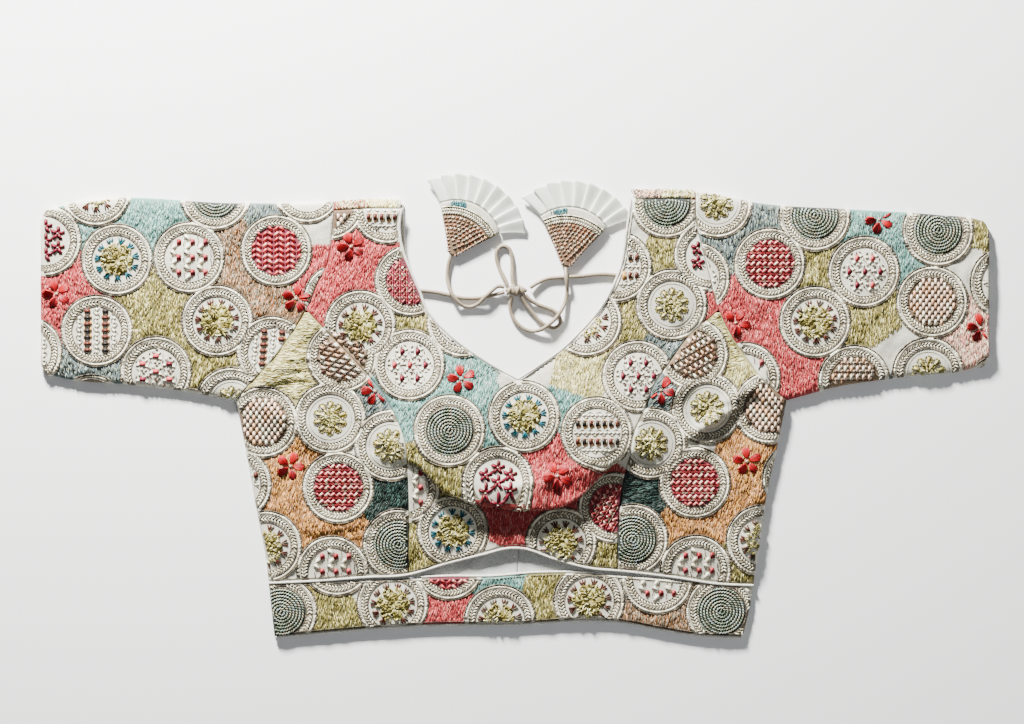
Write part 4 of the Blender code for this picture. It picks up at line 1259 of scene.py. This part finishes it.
def waistband_shell():
    """A strip between its two pipings; its ends follow the side seams."""
    columns, rows = 190, 24
    clear = PIPING / 2 + 0.1
    share = np.linspace(0, 1, rows + 1)[:, None]
    u = np.linspace(0, 1, columns + 1)[None, :]
    y = np.full((rows + 1, columns + 1), -164.0)
    for _ in range(12):
        start = smooth(SIDE_SEAM[-1], y) + SEAM_INSET
        end = smooth(SIDE_SEAM[1], y) - SEAM_INSET
        x = start + (end - start) * u
        low = smooth(BAND_HEM, x) + clear
        high = band_top(x) - clear
        y = low + (high - low) * share
    x, y, z = np.moveaxis(surface("waistband", x, y), -1, 0)
    return grid_object("cloth_waistband", x, y, z, GROUND_CLOTH, CLOTH)


SHELLS = {"front_centre": front_centre_shell(), "waistband": waistband_shell()}
for side_sign, side_name in SIDES:
    SHELLS["front_side_" + side_name] = front_side_shell(side_sign, "front_side_" + side_name)
    SHELLS["sleeve_" + side_name] = sleeve_shell(side_sign, "sleeve_" + side_name)
for piece, shell in SHELLS.items():
    dye_shell(shell, piece)
    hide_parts(piece)
print("shells:", {name: len(made.data.polygons) for name, made in SHELLS.items()})

# %% [markdown]
# ## The back
# The back lies flat on the surface. At the shoulder it comes over the top fold and down the
# front by 7 mm, so a narrow strip of it shows there. Its embroidery hardly shows, so the
# back carries the patch colours in its dye and stitches only on the shoulder strips.

# %% Back panels and lining
def back_neck_x(side, y):
    """The edge of the back neck at a height."""
    return CENTRE_X + side * smooth(BACK_NECK_HALF, y)


BACK_COUNTS = (26, 3, 4, 6, 10, 44)
BACK_ROWS = row_levels(
    [
        lambda x: smooth(BAND_HEM, x) + PIPING / 2 + 0.1,
        lambda x: BACK_NECK_Y - PIPING / 2 - 2 * SEAM_GAP + 0 * x,
        lambda x: -18.0 + 0 * x,
        lambda x: -8.0 + 0 * x,
        lambda x: ARMPIT_Y + 0 * x,
        lambda x: 40.0 + 0 * x,
        lambda x: smooth(TOP_FOLD, x) - 5],
    BACK_COUNTS)
WRAP_ROWS = [  # depth below the top fold, and 1 on the front
    (3.2, 0), (2.0, 0), (1.0, 0), (0.4, 0), (0, 0), (0.4, 1), (1.0, 1), (2.2, 1), (3.8, 1),
    (5.4, 1), (SHOULDER_WRAP, 1)]


def back_shell(side, piece):
    """Half of the back, flat, with its shoulder wrapped over the top fold."""
    clear = PIPING / 2 + 2 * SEAM_GAP
    levels = BACK_ROWS + [lambda x, d=depth: smooth(TOP_FOLD, x) - d for depth, _ in WRAP_ROWS]
    spans = []
    for level in levels:
        start = CENTRE_X + side * SEAM_INSET
        if level(side * 60.0) > BACK_NECK_Y:
            start = meet(level, lambda y: back_neck_x(side, y + clear) + side * clear, side * 80.0)
        spans.append((float(start), float(meet(level, outer_edge(side), side * 180.0))))
    x, y = rows_between(spans, levels, 40)
    z = lower_height(np.maximum(smooth(TOP_FOLD, x) - y, 0))
    for k, (_, on_top) in enumerate(WRAP_ROWS, len(BACK_ROWS)):
        if on_top:
            z[k] = front_height(x[k], y[k])
    return grid_object("cloth_" + piece, x, y, z, GROUND_CLOTH, CLOTH, flip=side > 0)


BACK_PITCH = 66.0
BACK_PATCHES = ("olive", "pink", "teal", "rust", "slate", "straw")
BACK_DISCS = ("white", "coil", "pink", "beige", "white", "wine")


def dye_back(made):
    """The back has the same cloth: its medallions stand in staggered rows."""
    x, y, _ = points_of(made.data).T
    step = BACK_PITCH * 0.86
    row = np.round(y / step)
    shift = 0.5 * (row % 2)
    column = np.round(x / BACK_PITCH - shift) + shift
    reach = np.hypot(x - column * BACK_PITCH, y - row * step)
    pick = ((np.abs(column) * 2 + np.abs(row) * 3) % len(BACK_PATCHES)).astype(int)
    store_dye(made.data, reach, dyes(BACK_DISCS)[pick], dyes(BACK_PATCHES)[pick])


def lining_shell(side, piece):
    """Plain cotton over the back's waist, with soft creases and a folded centre edge."""
    inset, top = 3.0, BACK_NECK_Y - 3.0
    v = np.linspace(0, 1, 91)[:, None]
    u = np.linspace(0, 1, 91)[None, :]
    start = CENTRE_X + side * SEAM_INSET
    y0 = smooth(BAND_HEM, start) + inset
    y_mid = y0 + (top - y0) * v
    end = smooth(SIDE_SEAM[side], y_mid) - side * 2.5 * inset
    x = start + (end - start) * u
    hem = smooth(BAND_HEM, x) + inset
    y = hem + (top - hem) * v
    z = CLOTH + SEAM_GAP + LINING + 0 * x
    in_gap = ease(-137, -130, y) * (1 - ease(-106, -98, y))
    folds = [
        (-34, -124, -24, -118, 3, 1.3), (-46, -132, -30, -122, 4, 0.9),
        (18, -124, 40, -128, 5, 0.7), (-70, -133, -60, -130, 4, 0.5)]
    z = z + crease_height(x, y, folds) * in_gap
    z = z + 0.6 * np.exp(-(((np.abs(x - CENTRE_X) - 1.2) / 1.3) ** 2)) * in_gap
    return grid_object("lining_" + piece.rsplit("_", 1)[1], x, y, z, COTTON, LINING, flip=side < 0)


for side_sign, side_name in SIDES:
    back = back_shell(side_sign, "back_" + side_name)
    SHELLS["back_" + side_name] = back
    dye_back(back)
    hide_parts("back_" + side_name)
    lining = lining_shell(side_sign, "back_lining_" + side_name)
    SHELLS["back_lining_" + side_name] = lining
    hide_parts("back_lining_" + side_name)
print("backs and lining made")

# %% [markdown]
# ## Laying the stitches
# One stitch is a spindle of thread: a sphere with three sides and two rings, stretched to
# the stitch's length, width and height. It is set on the cloth between the heights of the
# cloth at its ends and under its middle, so that it follows every fold. The spindles of a
# piece are one mesh, filled from arrays, and each keeps its thread's colour.

# %% Stitch meshes
def spindle():
    """Corners and faces of one stitch of unit size, with its ridge on top."""
    bm = bmesh.new()
    bmesh.ops.create_uvsphere(bm, u_segments=3, v_segments=3, radius=0.5)
    bmesh.ops.triangulate(bm, faces=bm.faces)
    waist = [v for v in bm.verts if abs(v.co.z) < 0.4]
    bmesh.ops.scale(bm, vec=(1.155, 1.155, 1.4), verts=waist)
    corners = np.array([(v.co.z, -v.co.y, v.co.x) for v in bm.verts])
    faces = np.array([[v.index for v in f.verts] for f in bm.faces])
    bm.free()
    return corners, faces


SPINDLE, SPINDLE_FACES = spindle()
LIFT, RISE_SHARE = 0.1, 0.24  # how far a stitch's middle stands off the cloth
MIDDLE_SHARE = 0.65  # how far it follows the cloth under its middle
SLOPE_STEP = 0.4


def stitch_object(name, rows, spot):
    """All stitches of a piece as one mesh; spot(x, y) gives the cloth under a point."""
    (ax, ay), (bx, by) = ends_of(rows)
    a, b, c = spot(ax, ay), spot(bx, by), spot(rows[:, 0], rows[:, 1])
    x, y = rows[:, 0], rows[:, 1]
    along_x = spot(x + SLOPE_STEP, y) - spot(x - SLOPE_STEP, y)
    along_y = spot(x, y + SLOPE_STEP) - spot(x, y - SLOPE_STEP)
    normal = np.cross(along_x, along_y)
    normal /= np.linalg.norm(normal, axis=1, keepdims=True)
    run = b - a
    side = np.cross(normal, run)
    side /= np.maximum(np.linalg.norm(side, axis=1, keepdims=True), 1e-9)
    middle = (a + b) / 2 * (1 - MIDDLE_SHARE) + c * MIDDLE_SHARE
    n, k = len(rows), len(SPINDLE)
    points = (
        (middle + normal * (LIFT + rows[:, 5:6] * RISE_SHARE))[:, None]
        + SPINDLE[None, :, 0:1] * run[:, None]
        + SPINDLE[None, :, 1:2] * (side * rows[:, 4:5])[:, None]
        + SPINDLE[None, :, 2:3] * (normal * rows[:, 5:6])[:, None])
    faces = (SPINDLE_FACES[None] + (np.arange(n) * k)[:, None, None]).reshape(-1, 3)
    mesh = bpy.data.meshes.new(name)
    mesh.vertices.add(n * k)
    mesh.vertices.foreach_set("co", (points * MM).ravel())
    mesh.loops.add(faces.size)
    mesh.loops.foreach_set("vertex_index", faces.ravel())
    mesh.polygons.add(len(faces))
    mesh.polygons.foreach_set("loop_start", np.arange(len(faces)) * 3)
    mesh.update(calc_edges=True)
    tint = THREAD_RGB[rows[:, 6].astype(int)] * RNG.uniform(0.82, 1.12, (n, 1))
    rgba = np.concatenate([np.repeat(tint, k, 0), np.ones((n * k, 1))], 1)
    mesh.attributes.new("dye", "FLOAT_COLOR", "POINT").data.foreach_set("color", rgba.ravel())
    across = math.ceil(math.sqrt(n))
    cell = np.stack([np.arange(n) % across, np.arange(n) // across], 1) / across
    corner = (SPINDLE[:, :2] + 0.5) * 0.8 + 0.1
    uv = (cell[:, None] + corner[None] / across).reshape(-1, 2)[faces.ravel()]
    mesh.uv_layers.new(name="OFBake").data.foreach_set("uv", uv.ravel())
    mesh.materials.append(RAYON)
    mesh.shade_smooth()
    made = show(name, mesh)
    return made


PIECE_BOX = {  # lowest and highest x and y, in millimetres
    "front_centre": ((-175, -136), (172, 180)), "front_side_left": ((-234, -143), (-86, 86)),
    "front_side_right": ((84, -145), (228, 86)), "sleeve_left": ((-394, 10), (-148, 180)),
    "sleeve_right": ((148, 10), (394, 187)), "waistband": ((-207, -187), (200, -130))}
STITCHES = {}
for piece, box in PIECE_BOX.items():
    rows = piece_stitches(piece, box)
    spot = partial(surface, piece)
    STITCHES[piece] = stitch_object("embroidery_" + piece, rows, spot)
    print(piece, "stitches", len(rows))

STRIP_STITCHES, STRIP_ENDS, STRIP_CHANGE = 420, (97, 149), 122
STRIP_THREADS = {  # near the neck, near the sleeve
    -1: [("gold", "straw", "pale_gold"), ("copper", "umber", "straw")],
    1: [("peach", "brown", "sand", "umber"), ("gold", "straw", "old_gold")]}
for side_sign, side_name in SIDES:
    strip_x = side_sign * RNG.uniform(*STRIP_ENDS, STRIP_STITCHES)
    depth = RNG.uniform(0.6, SHOULDER_WRAP - 0.9, STRIP_STITCHES)
    strip_y = smooth(TOP_FOLD, strip_x) - depth
    outer = strip_x * side_sign > STRIP_CHANGE
    angle = RNG.choice([0.9, -0.9, 1.5], STRIP_STITCHES)
    first, second = STRIP_THREADS[side_sign]
    near = lay(strip_x[~outer], strip_y[~outer], angle[~outer], 3.0, 1.0, 1.1, first)
    far = lay(strip_x[outer], strip_y[outer], angle[outer], 3.0, 1.0, 1.1, second)
    STITCHES["back_" + side_name] = stitch_object(
        "embroidery_shoulder_" + side_name, np.concatenate([near, far]),
        lambda x, y: np.stack([x, y, front_height(x, y)], -1))

# %% [markdown]
# ## Piping
# The neck, the hem of the bodice and both edges of the waistband are bound with a narrow
# bias strip over a cord. It is a round tube along the edge, a little uneven, because the
# strip is turned by hand.

# %% Pipings
def cord_curve(name, points, diameter, resolution, closed=False):
    """A round cord through points in millimetres, as one spline."""
    curve = bpy.data.curves.new(name, "CURVE")
    curve.dimensions = "3D"
    curve.bevel_depth, curve.bevel_resolution = diameter / 2 * MM, resolution
    curve.use_fill_caps = not closed
    spline = curve.splines.new("POLY")
    spline.points.add(len(points) - 1)
    for point, place in zip(spline.points, points):
        point.co = (*[float(c) * MM for c in place], 1)
    spline.use_cyclic_u = closed
    return curve


def tube_curve(name, points, diameter, material, resolution=4):
    """A piping or a tie, as a cord of its own."""
    curve = cord_curve(name, points, diameter, resolution)
    curve.materials.append(material)
    return show(name, curve)


PIPING_PROUD = 0.7
ABOVE_LINING = CLOTH + LINING + 2 * SEAM_GAP + PIPING / 2 + 0.1


def along_front(route):
    """A piping's route in plan, laid on the front with a small waver."""
    x, y = np.array(route, float).T
    z = np.maximum(front_height(x, y) - CLOTH / 2 + PIPING_PROUD, ABOVE_LINING)
    return np.stack([x, y, z + 0.12 * np.sin(np.arange(len(x)) * 0.9)], 1)


neck_left = [(float(smooth(FRONT_NECK[-1], y)), y) for y in np.linspace(170.5, 34, 90)]
neck_right = [(float(smooth(FRONT_NECK[1], y)), y) for y in np.linspace(37, 178, 90)]
hem = [(x, float(smooth(BODICE_HEM, x))) for x in np.linspace(-205, 198, 170)]
ON_BAND = BAND_HEIGHT - CLOTH / 2
PIPING_ROUTES = {
    "front_neck_piping": along_front(neck_left + [(CENTRE_X, 28.6)] + neck_right),
    "bodice_hem_piping": along_front(hem),
    "band_top_piping": [
        (x, float(smooth(BAND_TOP, x)), ON_BAND) for x in np.linspace(-78, 66, 60)],
    "band_hem_piping": [
        (x, float(smooth(BAND_HEM, x)), ON_BAND - 1.0) for x in np.linspace(-199, 188, 150)]}
heights = np.concatenate([np.linspace(174, 0, 60), np.linspace(-2, -21, 20)])
PIPING_ROUTES["back_neck_piping"] = (
    [(back_neck_x(-1, y), y, PIPING / 2 + 0.15) for y in heights]
    + [(CENTRE_X, BACK_NECK_Y, PIPING / 2 + 0.15)]
    + [(back_neck_x(1, y), y, PIPING / 2 + 0.15) for y in heights[::-1]])
PIPINGS = {}
for name, route in PIPING_ROUTES.items():
    PIPINGS[name] = tube_curve("bias_" + name, route, PIPING, BIAS)
    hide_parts(name)
print("pipings:", len(PIPINGS))

# %% [markdown]
# ## The ties
# The dori is a tube of satin, turned right side out, about 3 mm thick. One comes from each
# side of the back neck. They are tied in a bow whose loops and tails lie loosely on the
# surface in the neck opening, and pass over each other in low humps. Their routes are the
# frame's own points.

# %% Cords, knot and their routes
ROUTES = {
    "dori_left": [
        (-84.6, 103.4, 1.8), (-79, 102.6, 1.7), (-67.5, 101.3, 1.7), (-56, 99, 1.7),
        (-46, 96.6, 1.7), (-33, 96, 1.7), (-21, 98, 1.8), (-13, 100, 3.0), (-8.9, 101.2, 3.6)],
    "dori_right": [
        (89.8, 115, 1.8), (84, 115.3, 1.7), (72.8, 116, 1.7), (54, 114.3, 1.7),
        (38.5, 113.4, 1.7), (26, 112, 1.7), (19, 108.8, 2.4), (12.6, 104.9, 3.6)],
    "bow_loop_up": [
        (-6.2, 107.2, 4.4), (-9, 113, 3.6), (-13, 121, 1.9), (-15.4, 129, 1.7), (-15, 135.5, 1.7),
        (-10.3, 139.6, 1.7), (-5, 137.6, 1.7), (-2.8, 131, 1.7), (-2.2, 122, 2.2),
        (-2.4, 113.6, 4.0), (-1.5, 107.6, 4.6)],
    "bow_loop_right": [
        (8.6, 98.6, 4.4), (12.6, 94.6, 3.6), (18.5, 91, 2.2), (25, 88.6, 1.7), (31.5, 86, 1.7),
        (36.8, 81, 1.7), (37.6, 75.2, 1.7), (33.4, 71.4, 1.7), (27.4, 72.8, 1.7),
        (20.6, 77, 1.7), (15, 83.4, 1.8), (9.6, 90, 2.6), (5.4, 97.2, 4.2)],
    "tail_left": [
        (-8.7, 105.2, 4.4), (-13.6, 106, 4.6), (-19.5, 101.8, 5.2), (-24.8, 97, 5.3),
        (-29.8, 92, 3.4), (-36, 89, 1.8), (-42.4, 89.4, 2.2), (-47.4, 92.8, 4.2),
        (-51.4, 98, 5.3), (-54.6, 104.6, 4.0), (-56.3, 112, 2.2), (-56, 120, 2.0),
        (-54.9, 126.6, 2.3), (-53.25, 131.3, 2.4)],
    "tail_right": [
        (-2.4, 97.4, 4.0), (-4, 90.6, 2.4), (-3.2, 83.4, 1.7), (0.6, 76.4, 1.7),
        (6.4, 71.2, 1.7), (13.6, 68.6, 1.9), (21, 69.6, 3.8), (27.6, 73.6, 5.4),
        (33.6, 79, 4.8), (38, 85, 4.8), (41.6, 92.4, 2.6), (43.4, 101, 2.2), (43.2, 107.6, 5.0),
        (42.6, 113.4, 5.9), (42.2, 118.2, 4.0), (42.36, 121.7, 2.6)]}
KNOT_CENTRE, KNOT_HALF = (1.0, 102.4, 4.2), (9.6, 4.6, 3.9)


def resample(points, spacing):
    """Points a fixed distance apart on the smooth curve through a route."""
    route = np.array(points, float)
    lengths = np.concatenate([[0], np.cumsum(np.linalg.norm(np.diff(route, axis=0), axis=1))])
    at = np.linspace(0, lengths[-1], max(4, round(lengths[-1] / spacing) + 1))
    return np.stack([smooth(list(zip(lengths, route[:, k])), at) for k in range(3)], -1)


for name, route in ROUTES.items():
    points = resample(route, 2.0)
    tube_curve("tie_" + name, points, CORD, ROULEAU, 5)
    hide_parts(name)
    length = np.linalg.norm(np.diff(points, axis=0), axis=1).sum()
    print(name, "length", round(float(length), 1))


def wrap_tube(shift, lean, thick):
    """One turn of cord round the knot, as a closed ring of points."""
    turn = np.linspace(0, 2 * math.pi, 41)[:-1]
    squeeze = math.sqrt(max(0.25, 1 - (shift / (KNOT_HALF[0] * 1.1)) ** 2))
    y = (KNOT_HALF[1] * 0.72) * squeeze * np.cos(turn)
    z = np.maximum((KNOT_HALF[2] * 0.72) * squeeze * np.sin(turn), -KNOT_CENTRE[2] + thick + 0.1)
    x = shift + lean * y
    return np.stack([KNOT_CENTRE[0] + x, KNOT_CENTRE[1] + y, KNOT_CENTRE[2] + z], 1)


def ring_mesh(points, diameter):
    """A closed ring of cord through points in millimetres, as a mesh."""
    curve = cord_curve("turn", points, diameter, 3, closed=True)
    holder = bpy.data.objects.new("turn", curve)
    mesh = bpy.data.meshes.new_from_object(holder)
    bpy.data.objects.remove(holder)
    return mesh


knot_bm = bmesh.new()
bmesh.ops.create_uvsphere(knot_bm, u_segments=32, v_segments=20, radius=MM)
knot_size = (KNOT_HALF[0] * 0.95, KNOT_HALF[1] * 0.78, KNOT_HALF[2] * 0.78)
bmesh.ops.scale(knot_bm, vec=knot_size, verts=knot_bm.verts)
bmesh.ops.translate(knot_bm, vec=[c * MM for c in KNOT_CENTRE], verts=knot_bm.verts)
for shift, lean, thick in ((-5.6, 0.5, 1.3), (-2.3, -0.35, 1.5), (1.4, 0.3, 1.5), (4.9, -0.4, 1.35)):
    turn_mesh = ring_mesh(wrap_tube(shift, lean, thick), 2 * thick)
    knot_bm.from_mesh(turn_mesh)
    bpy.data.meshes.remove(turn_mesh)
knot_mesh = mesh_of(knot_bm, "tie_knot")
knot_mesh.materials.append(ROULEAU)
knot_mesh.shade_smooth()
KNOT = show("tie_knot", knot_mesh)
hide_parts("bow_knot")

# %% [markdown]
# ## Latkans
# A latkan is a little bag at the end of a tie: a cone of the same embroidered cloth, lying
# flat, with a pleated frill of stiff organza sewn round its wide end. The organza is only a
# little see-through here.

# %% Latkan cones and frills
LATKANS = {  # tip x, tip y, middle and half angle in degrees, cone and frill lengths
    "left": (-54.2, 129.4, 63.0, 37.0, 49.0, 22.0),
    "right": (42.0, 119.6, 80.0, 35.0, 52.0, 22.0)}
LATKAN_WALL, LATKAN_HEIGHT, FRILL_WALL, FRILL_PLEATS = 1.3, 6.4, 0.5, 9
CONE_START, CONE_START_HEIGHT = 3.0, 4.6  # the mouth for the tie, near the tip
CONE_ROUND = 0.06  # how much shorter the cone is at its sides

ORGANZA, organza_tree, organza_shader = new_material("organza")
organza_place = node(organza_tree, "ShaderNodeTexCoord")
organza_noise = node(
    organza_tree, "ShaderNodeTexNoise", [(organza_place.outputs["Object"], "Vector")],
    Scale=600.0, Detail=2.0)
organza_ramp = node(organza_tree, "ShaderNodeValToRGB", [(organza_noise.outputs["Fac"], "Fac")])
organza_ramp.color_ramp.elements[0].color = (*linear("#BFC2B6"), 1)
organza_ramp.color_ramp.elements[1].color = (*linear("#E4E6DC"), 1)
organza_tree.links.new(organza_ramp.outputs["Color"], organza_shader.inputs["Base Color"])
organza_shader.inputs["Roughness"].default_value = 0.45
organza_shader.inputs["Sheen Weight"].default_value = 0.4
organza_shader.inputs["Alpha"].default_value = 0.86


def cone_point(which, across, reach, upper=True):
    """A point of the flattened cone: across from -1 to 1, reach from the tip."""
    tip_x, tip_y, middle, spread, length, _ = LATKANS[which]
    out = (reach - CONE_START) / (length - CONE_START)
    angle = np.radians(middle + spread * across)
    full = CONE_START_HEIGHT + (LATKAN_HEIGHT - CONE_START_HEIGHT) * out
    bulge = np.sqrt(np.maximum(0.0, 1 - np.abs(across) ** 4))
    z = full / 2 + np.where(upper, 1, -1) * full / 2 * bulge
    here = reach * (1 - CONE_ROUND * across * across * out)
    return tip_x + here * np.cos(angle), tip_y + here * np.sin(angle), z


def cone_shell(which):
    """A flattened cone of cloth, with the braid and the plain hem in its dye."""
    length = LATKANS[which][4]
    turn = np.linspace(0, 2, 65)[None, :]
    upper = turn <= 1
    across = np.cos(math.pi * np.where(upper, turn, 2 - turn))
    reach = np.linspace(CONE_START, length, 31)[:, None]
    x, y, z = cone_point(which, across, reach + 0 * across, np.broadcast_to(upper, (31, 65)))
    made = grid_object("cloth_latkan_" + which, x, y, z, GROUND_CLOTH, LATKAN_WALL, closed=True)
    x, y, _ = points_of(made.data).T
    tip_x, tip_y = LATKANS[which][:2]
    reach = np.hypot(x - tip_x, y - tip_y) / length
    bands = dyes(("beige", "braid", "cloth"))[(reach > 0.74).astype(int) + (reach > 0.88)]
    store_dye(made.data, 0 * reach, bands, bands)
    return made


def latkan_stitches(which):
    """Rows of crossed copper stitches, a braid round the wide end, and a teal corner."""
    tip_x, tip_y, middle, spread, length, _ = LATKANS[which]
    rows = []
    for reach in np.arange(6, length * 0.74, 3.1):
        half = spread * 0.9
        count = max(2, int(math.radians(2 * half) * reach / 3.0))
        a = np.radians(middle + np.linspace(-half, half, count))
        x, y = tip_x + reach * np.cos(a), tip_y + reach * np.sin(a)
        cross = math.radians(middle - 90)
        rows.append(lay(x, y, cross + 0.8, 3.5, 1.2, 1.4, ("peach", "ash", "sand", "cream")))
        rows.append(lay(x, y, cross - 0.8, 3.3, 1.0, 1.7, ("brown", "copper", "umber", "peach")))
        rows.append(lay(x, y + 0.4, cross, 2.6, 0.6, 0.8, ("umber", "brown")))
    for reach, lean in ((length * 0.77, 0.8), (length * 0.82, -0.8), (length * 0.87, 0.0)):
        count = int(math.radians(2 * spread * 0.92) * reach / 1.9)
        a = np.radians(middle + spread * 0.92 * np.linspace(-1, 1, count))
        x, y = tip_x + reach * np.cos(a), tip_y + reach * np.sin(a)
        rows.append(lay(x, y, a + QUARTER + lean, 3.2, 1.3, 1.3, LEAF))
    a = np.radians(middle + spread * RNG.uniform(0.25, 0.7, 60))
    reach = length * RNG.uniform(0.89, 0.97, 60)
    x, y = tip_x + reach * np.cos(a), tip_y + reach * np.sin(a)
    rows.append(lay(x, y, a, 3.2, 0.9, 1.1, ("teal", "mist", "deep_teal")))
    return np.concatenate(rows)


def latkan_spot(which):
    """A function that gives the cone's upper cloth under a point."""
    tip_x, tip_y, middle, spread, length, _ = LATKANS[which]

    def spot(x, y):
        reach = np.hypot(x - tip_x, y - tip_y)
        across = (np.degrees(np.arctan2(y - tip_y, x - tip_x)) - middle) / spread
        across = np.clip(across, -1, 1)
        _, _, z = cone_point(which, across, reach)
        return np.stack([x, y, z], -1)

    return spot


def frill_shell(which):
    """Knife pleats: a slow rise and a quick fall, deeper towards the free edge."""
    tip_x, tip_y, middle, spread, length, frill = LATKANS[which]
    per_pleat, rows = 16, 14
    columns = FRILL_PLEATS * per_pleat
    u = np.linspace(0, 1, columns + 1)[None, :]
    out = np.linspace(0, 1, rows + 1)[:, None]
    across = 2 * u - 1
    phase = (u * FRILL_PLEATS) % 1.0
    saw = np.where(phase < 0.8, phase / 0.8, (1 - phase) / 0.2) * 2 - 1
    soft = np.sin(saw * QUARTER)
    start = length * (1 - CONE_ROUND * across * across) + 2 * SEAM_GAP
    reach = start + (frill + 0.7 * soft) * out * (1 - 0.08 * across**2)
    angle = np.radians(middle + (spread + 7 * out) * across + 1.2 * out * soft)
    z = 3.4 + (0.4 + 0.9 * out) * soft + 0.25 * np.sin(9 * across + 3 * out)
    x, y = tip_x + reach * np.cos(angle), tip_y + reach * np.sin(angle)
    name = "organza_frill_" + which
    return grid_object(name, x, y, z, ORGANZA, FRILL_WALL, flip=True, offset=0)


CONES, FRILLS = {}, {}
for which in LATKANS:
    CONES[which] = cone_shell(which)
    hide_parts("latkan_cone_" + which)
    FRILLS[which] = frill_shell(which)
    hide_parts("latkan_frill_" + which)
    rows = latkan_stitches(which)
    sewn = stitch_object("embroidery_latkan_" + which, rows, latkan_spot(which))
    STITCHES["latkan_" + which] = sewn
print("latkans made")

# %% [markdown]
# ## The cut of the cloth and the length of the ties
# The script works out the size that each piece of cloth was cut to, and prints it. A
# panel's cut is a little larger than its outline, because it rises over the bust and its
# puckers take up cloth, so its width and length are its outline's, times the square root
# of its real area over its outline's area. A sleeve's and a latkan's cut is all round.

# %% Cuts of the cloth and lengths of the ties
PANEL_TRIM = {
    "front_centre": ["front_neck_piping", "bodice_hem_piping"], "back_left": ["back_neck_piping"],
    "waistband": ["band_top_piping", "band_hem_piping"]}


def cut_of(made, layers=1):
    """Width, length and area of the flat cut of a shell, in metres."""
    mesh = made.data
    x, y, _ = points_of(mesh).T * MM
    area = sum(face.area for face in mesh.polygons)
    plan = sum(face.area * abs(face.normal.z) for face in mesh.polygons)
    grown = math.sqrt(area / plan)
    return float(np.ptp(x)) * grown, float(np.ptp(y)) * grown * layers, float(area)


for name, made in SHELLS.items():
    width, length, area = cut_of(made, 2 if name.startswith("sleeve") else 1)
    on_it = [PIPINGS[trim] for trim in PANEL_TRIM.get(name, ())]
    if name in STITCHES:
        on_it.append(STITCHES[name])
    cut = (round(width / MM), "x", round(length / MM), "mm,", round(area * 1e4), "cm2")
    print("sheet", name, *cut)

for which in LATKANS:
    cone, frill, sewn = CONES[which], FRILLS[which], STITCHES["latkan_" + which]
    width, length, area = cut_of(cone, 2)
    _, _, area = cut_of(frill)
    print("latkan", which, "cone", round(width / MM), "x", round(length / MM), "mm")

CORD_ENDS = {  # far end, and the pieces that are on the cord
    "dori_left": ("knot", [KNOT]), "dori_right": ("knot", []), "bow_loop_up": ("knot", []),
    "bow_loop_right": ("knot", []), "tail_left": ("fitting", [CONES["left"]]),
    "tail_right": ("fitting", [CONES["right"]])}
for name, (end, pieces_on) in CORD_ENDS.items():
    points = resample(ROUTES[name], 2.0)
    length = float(np.linalg.norm(np.diff(points, axis=0), axis=1).sum()) * MM
    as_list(pieces_on)
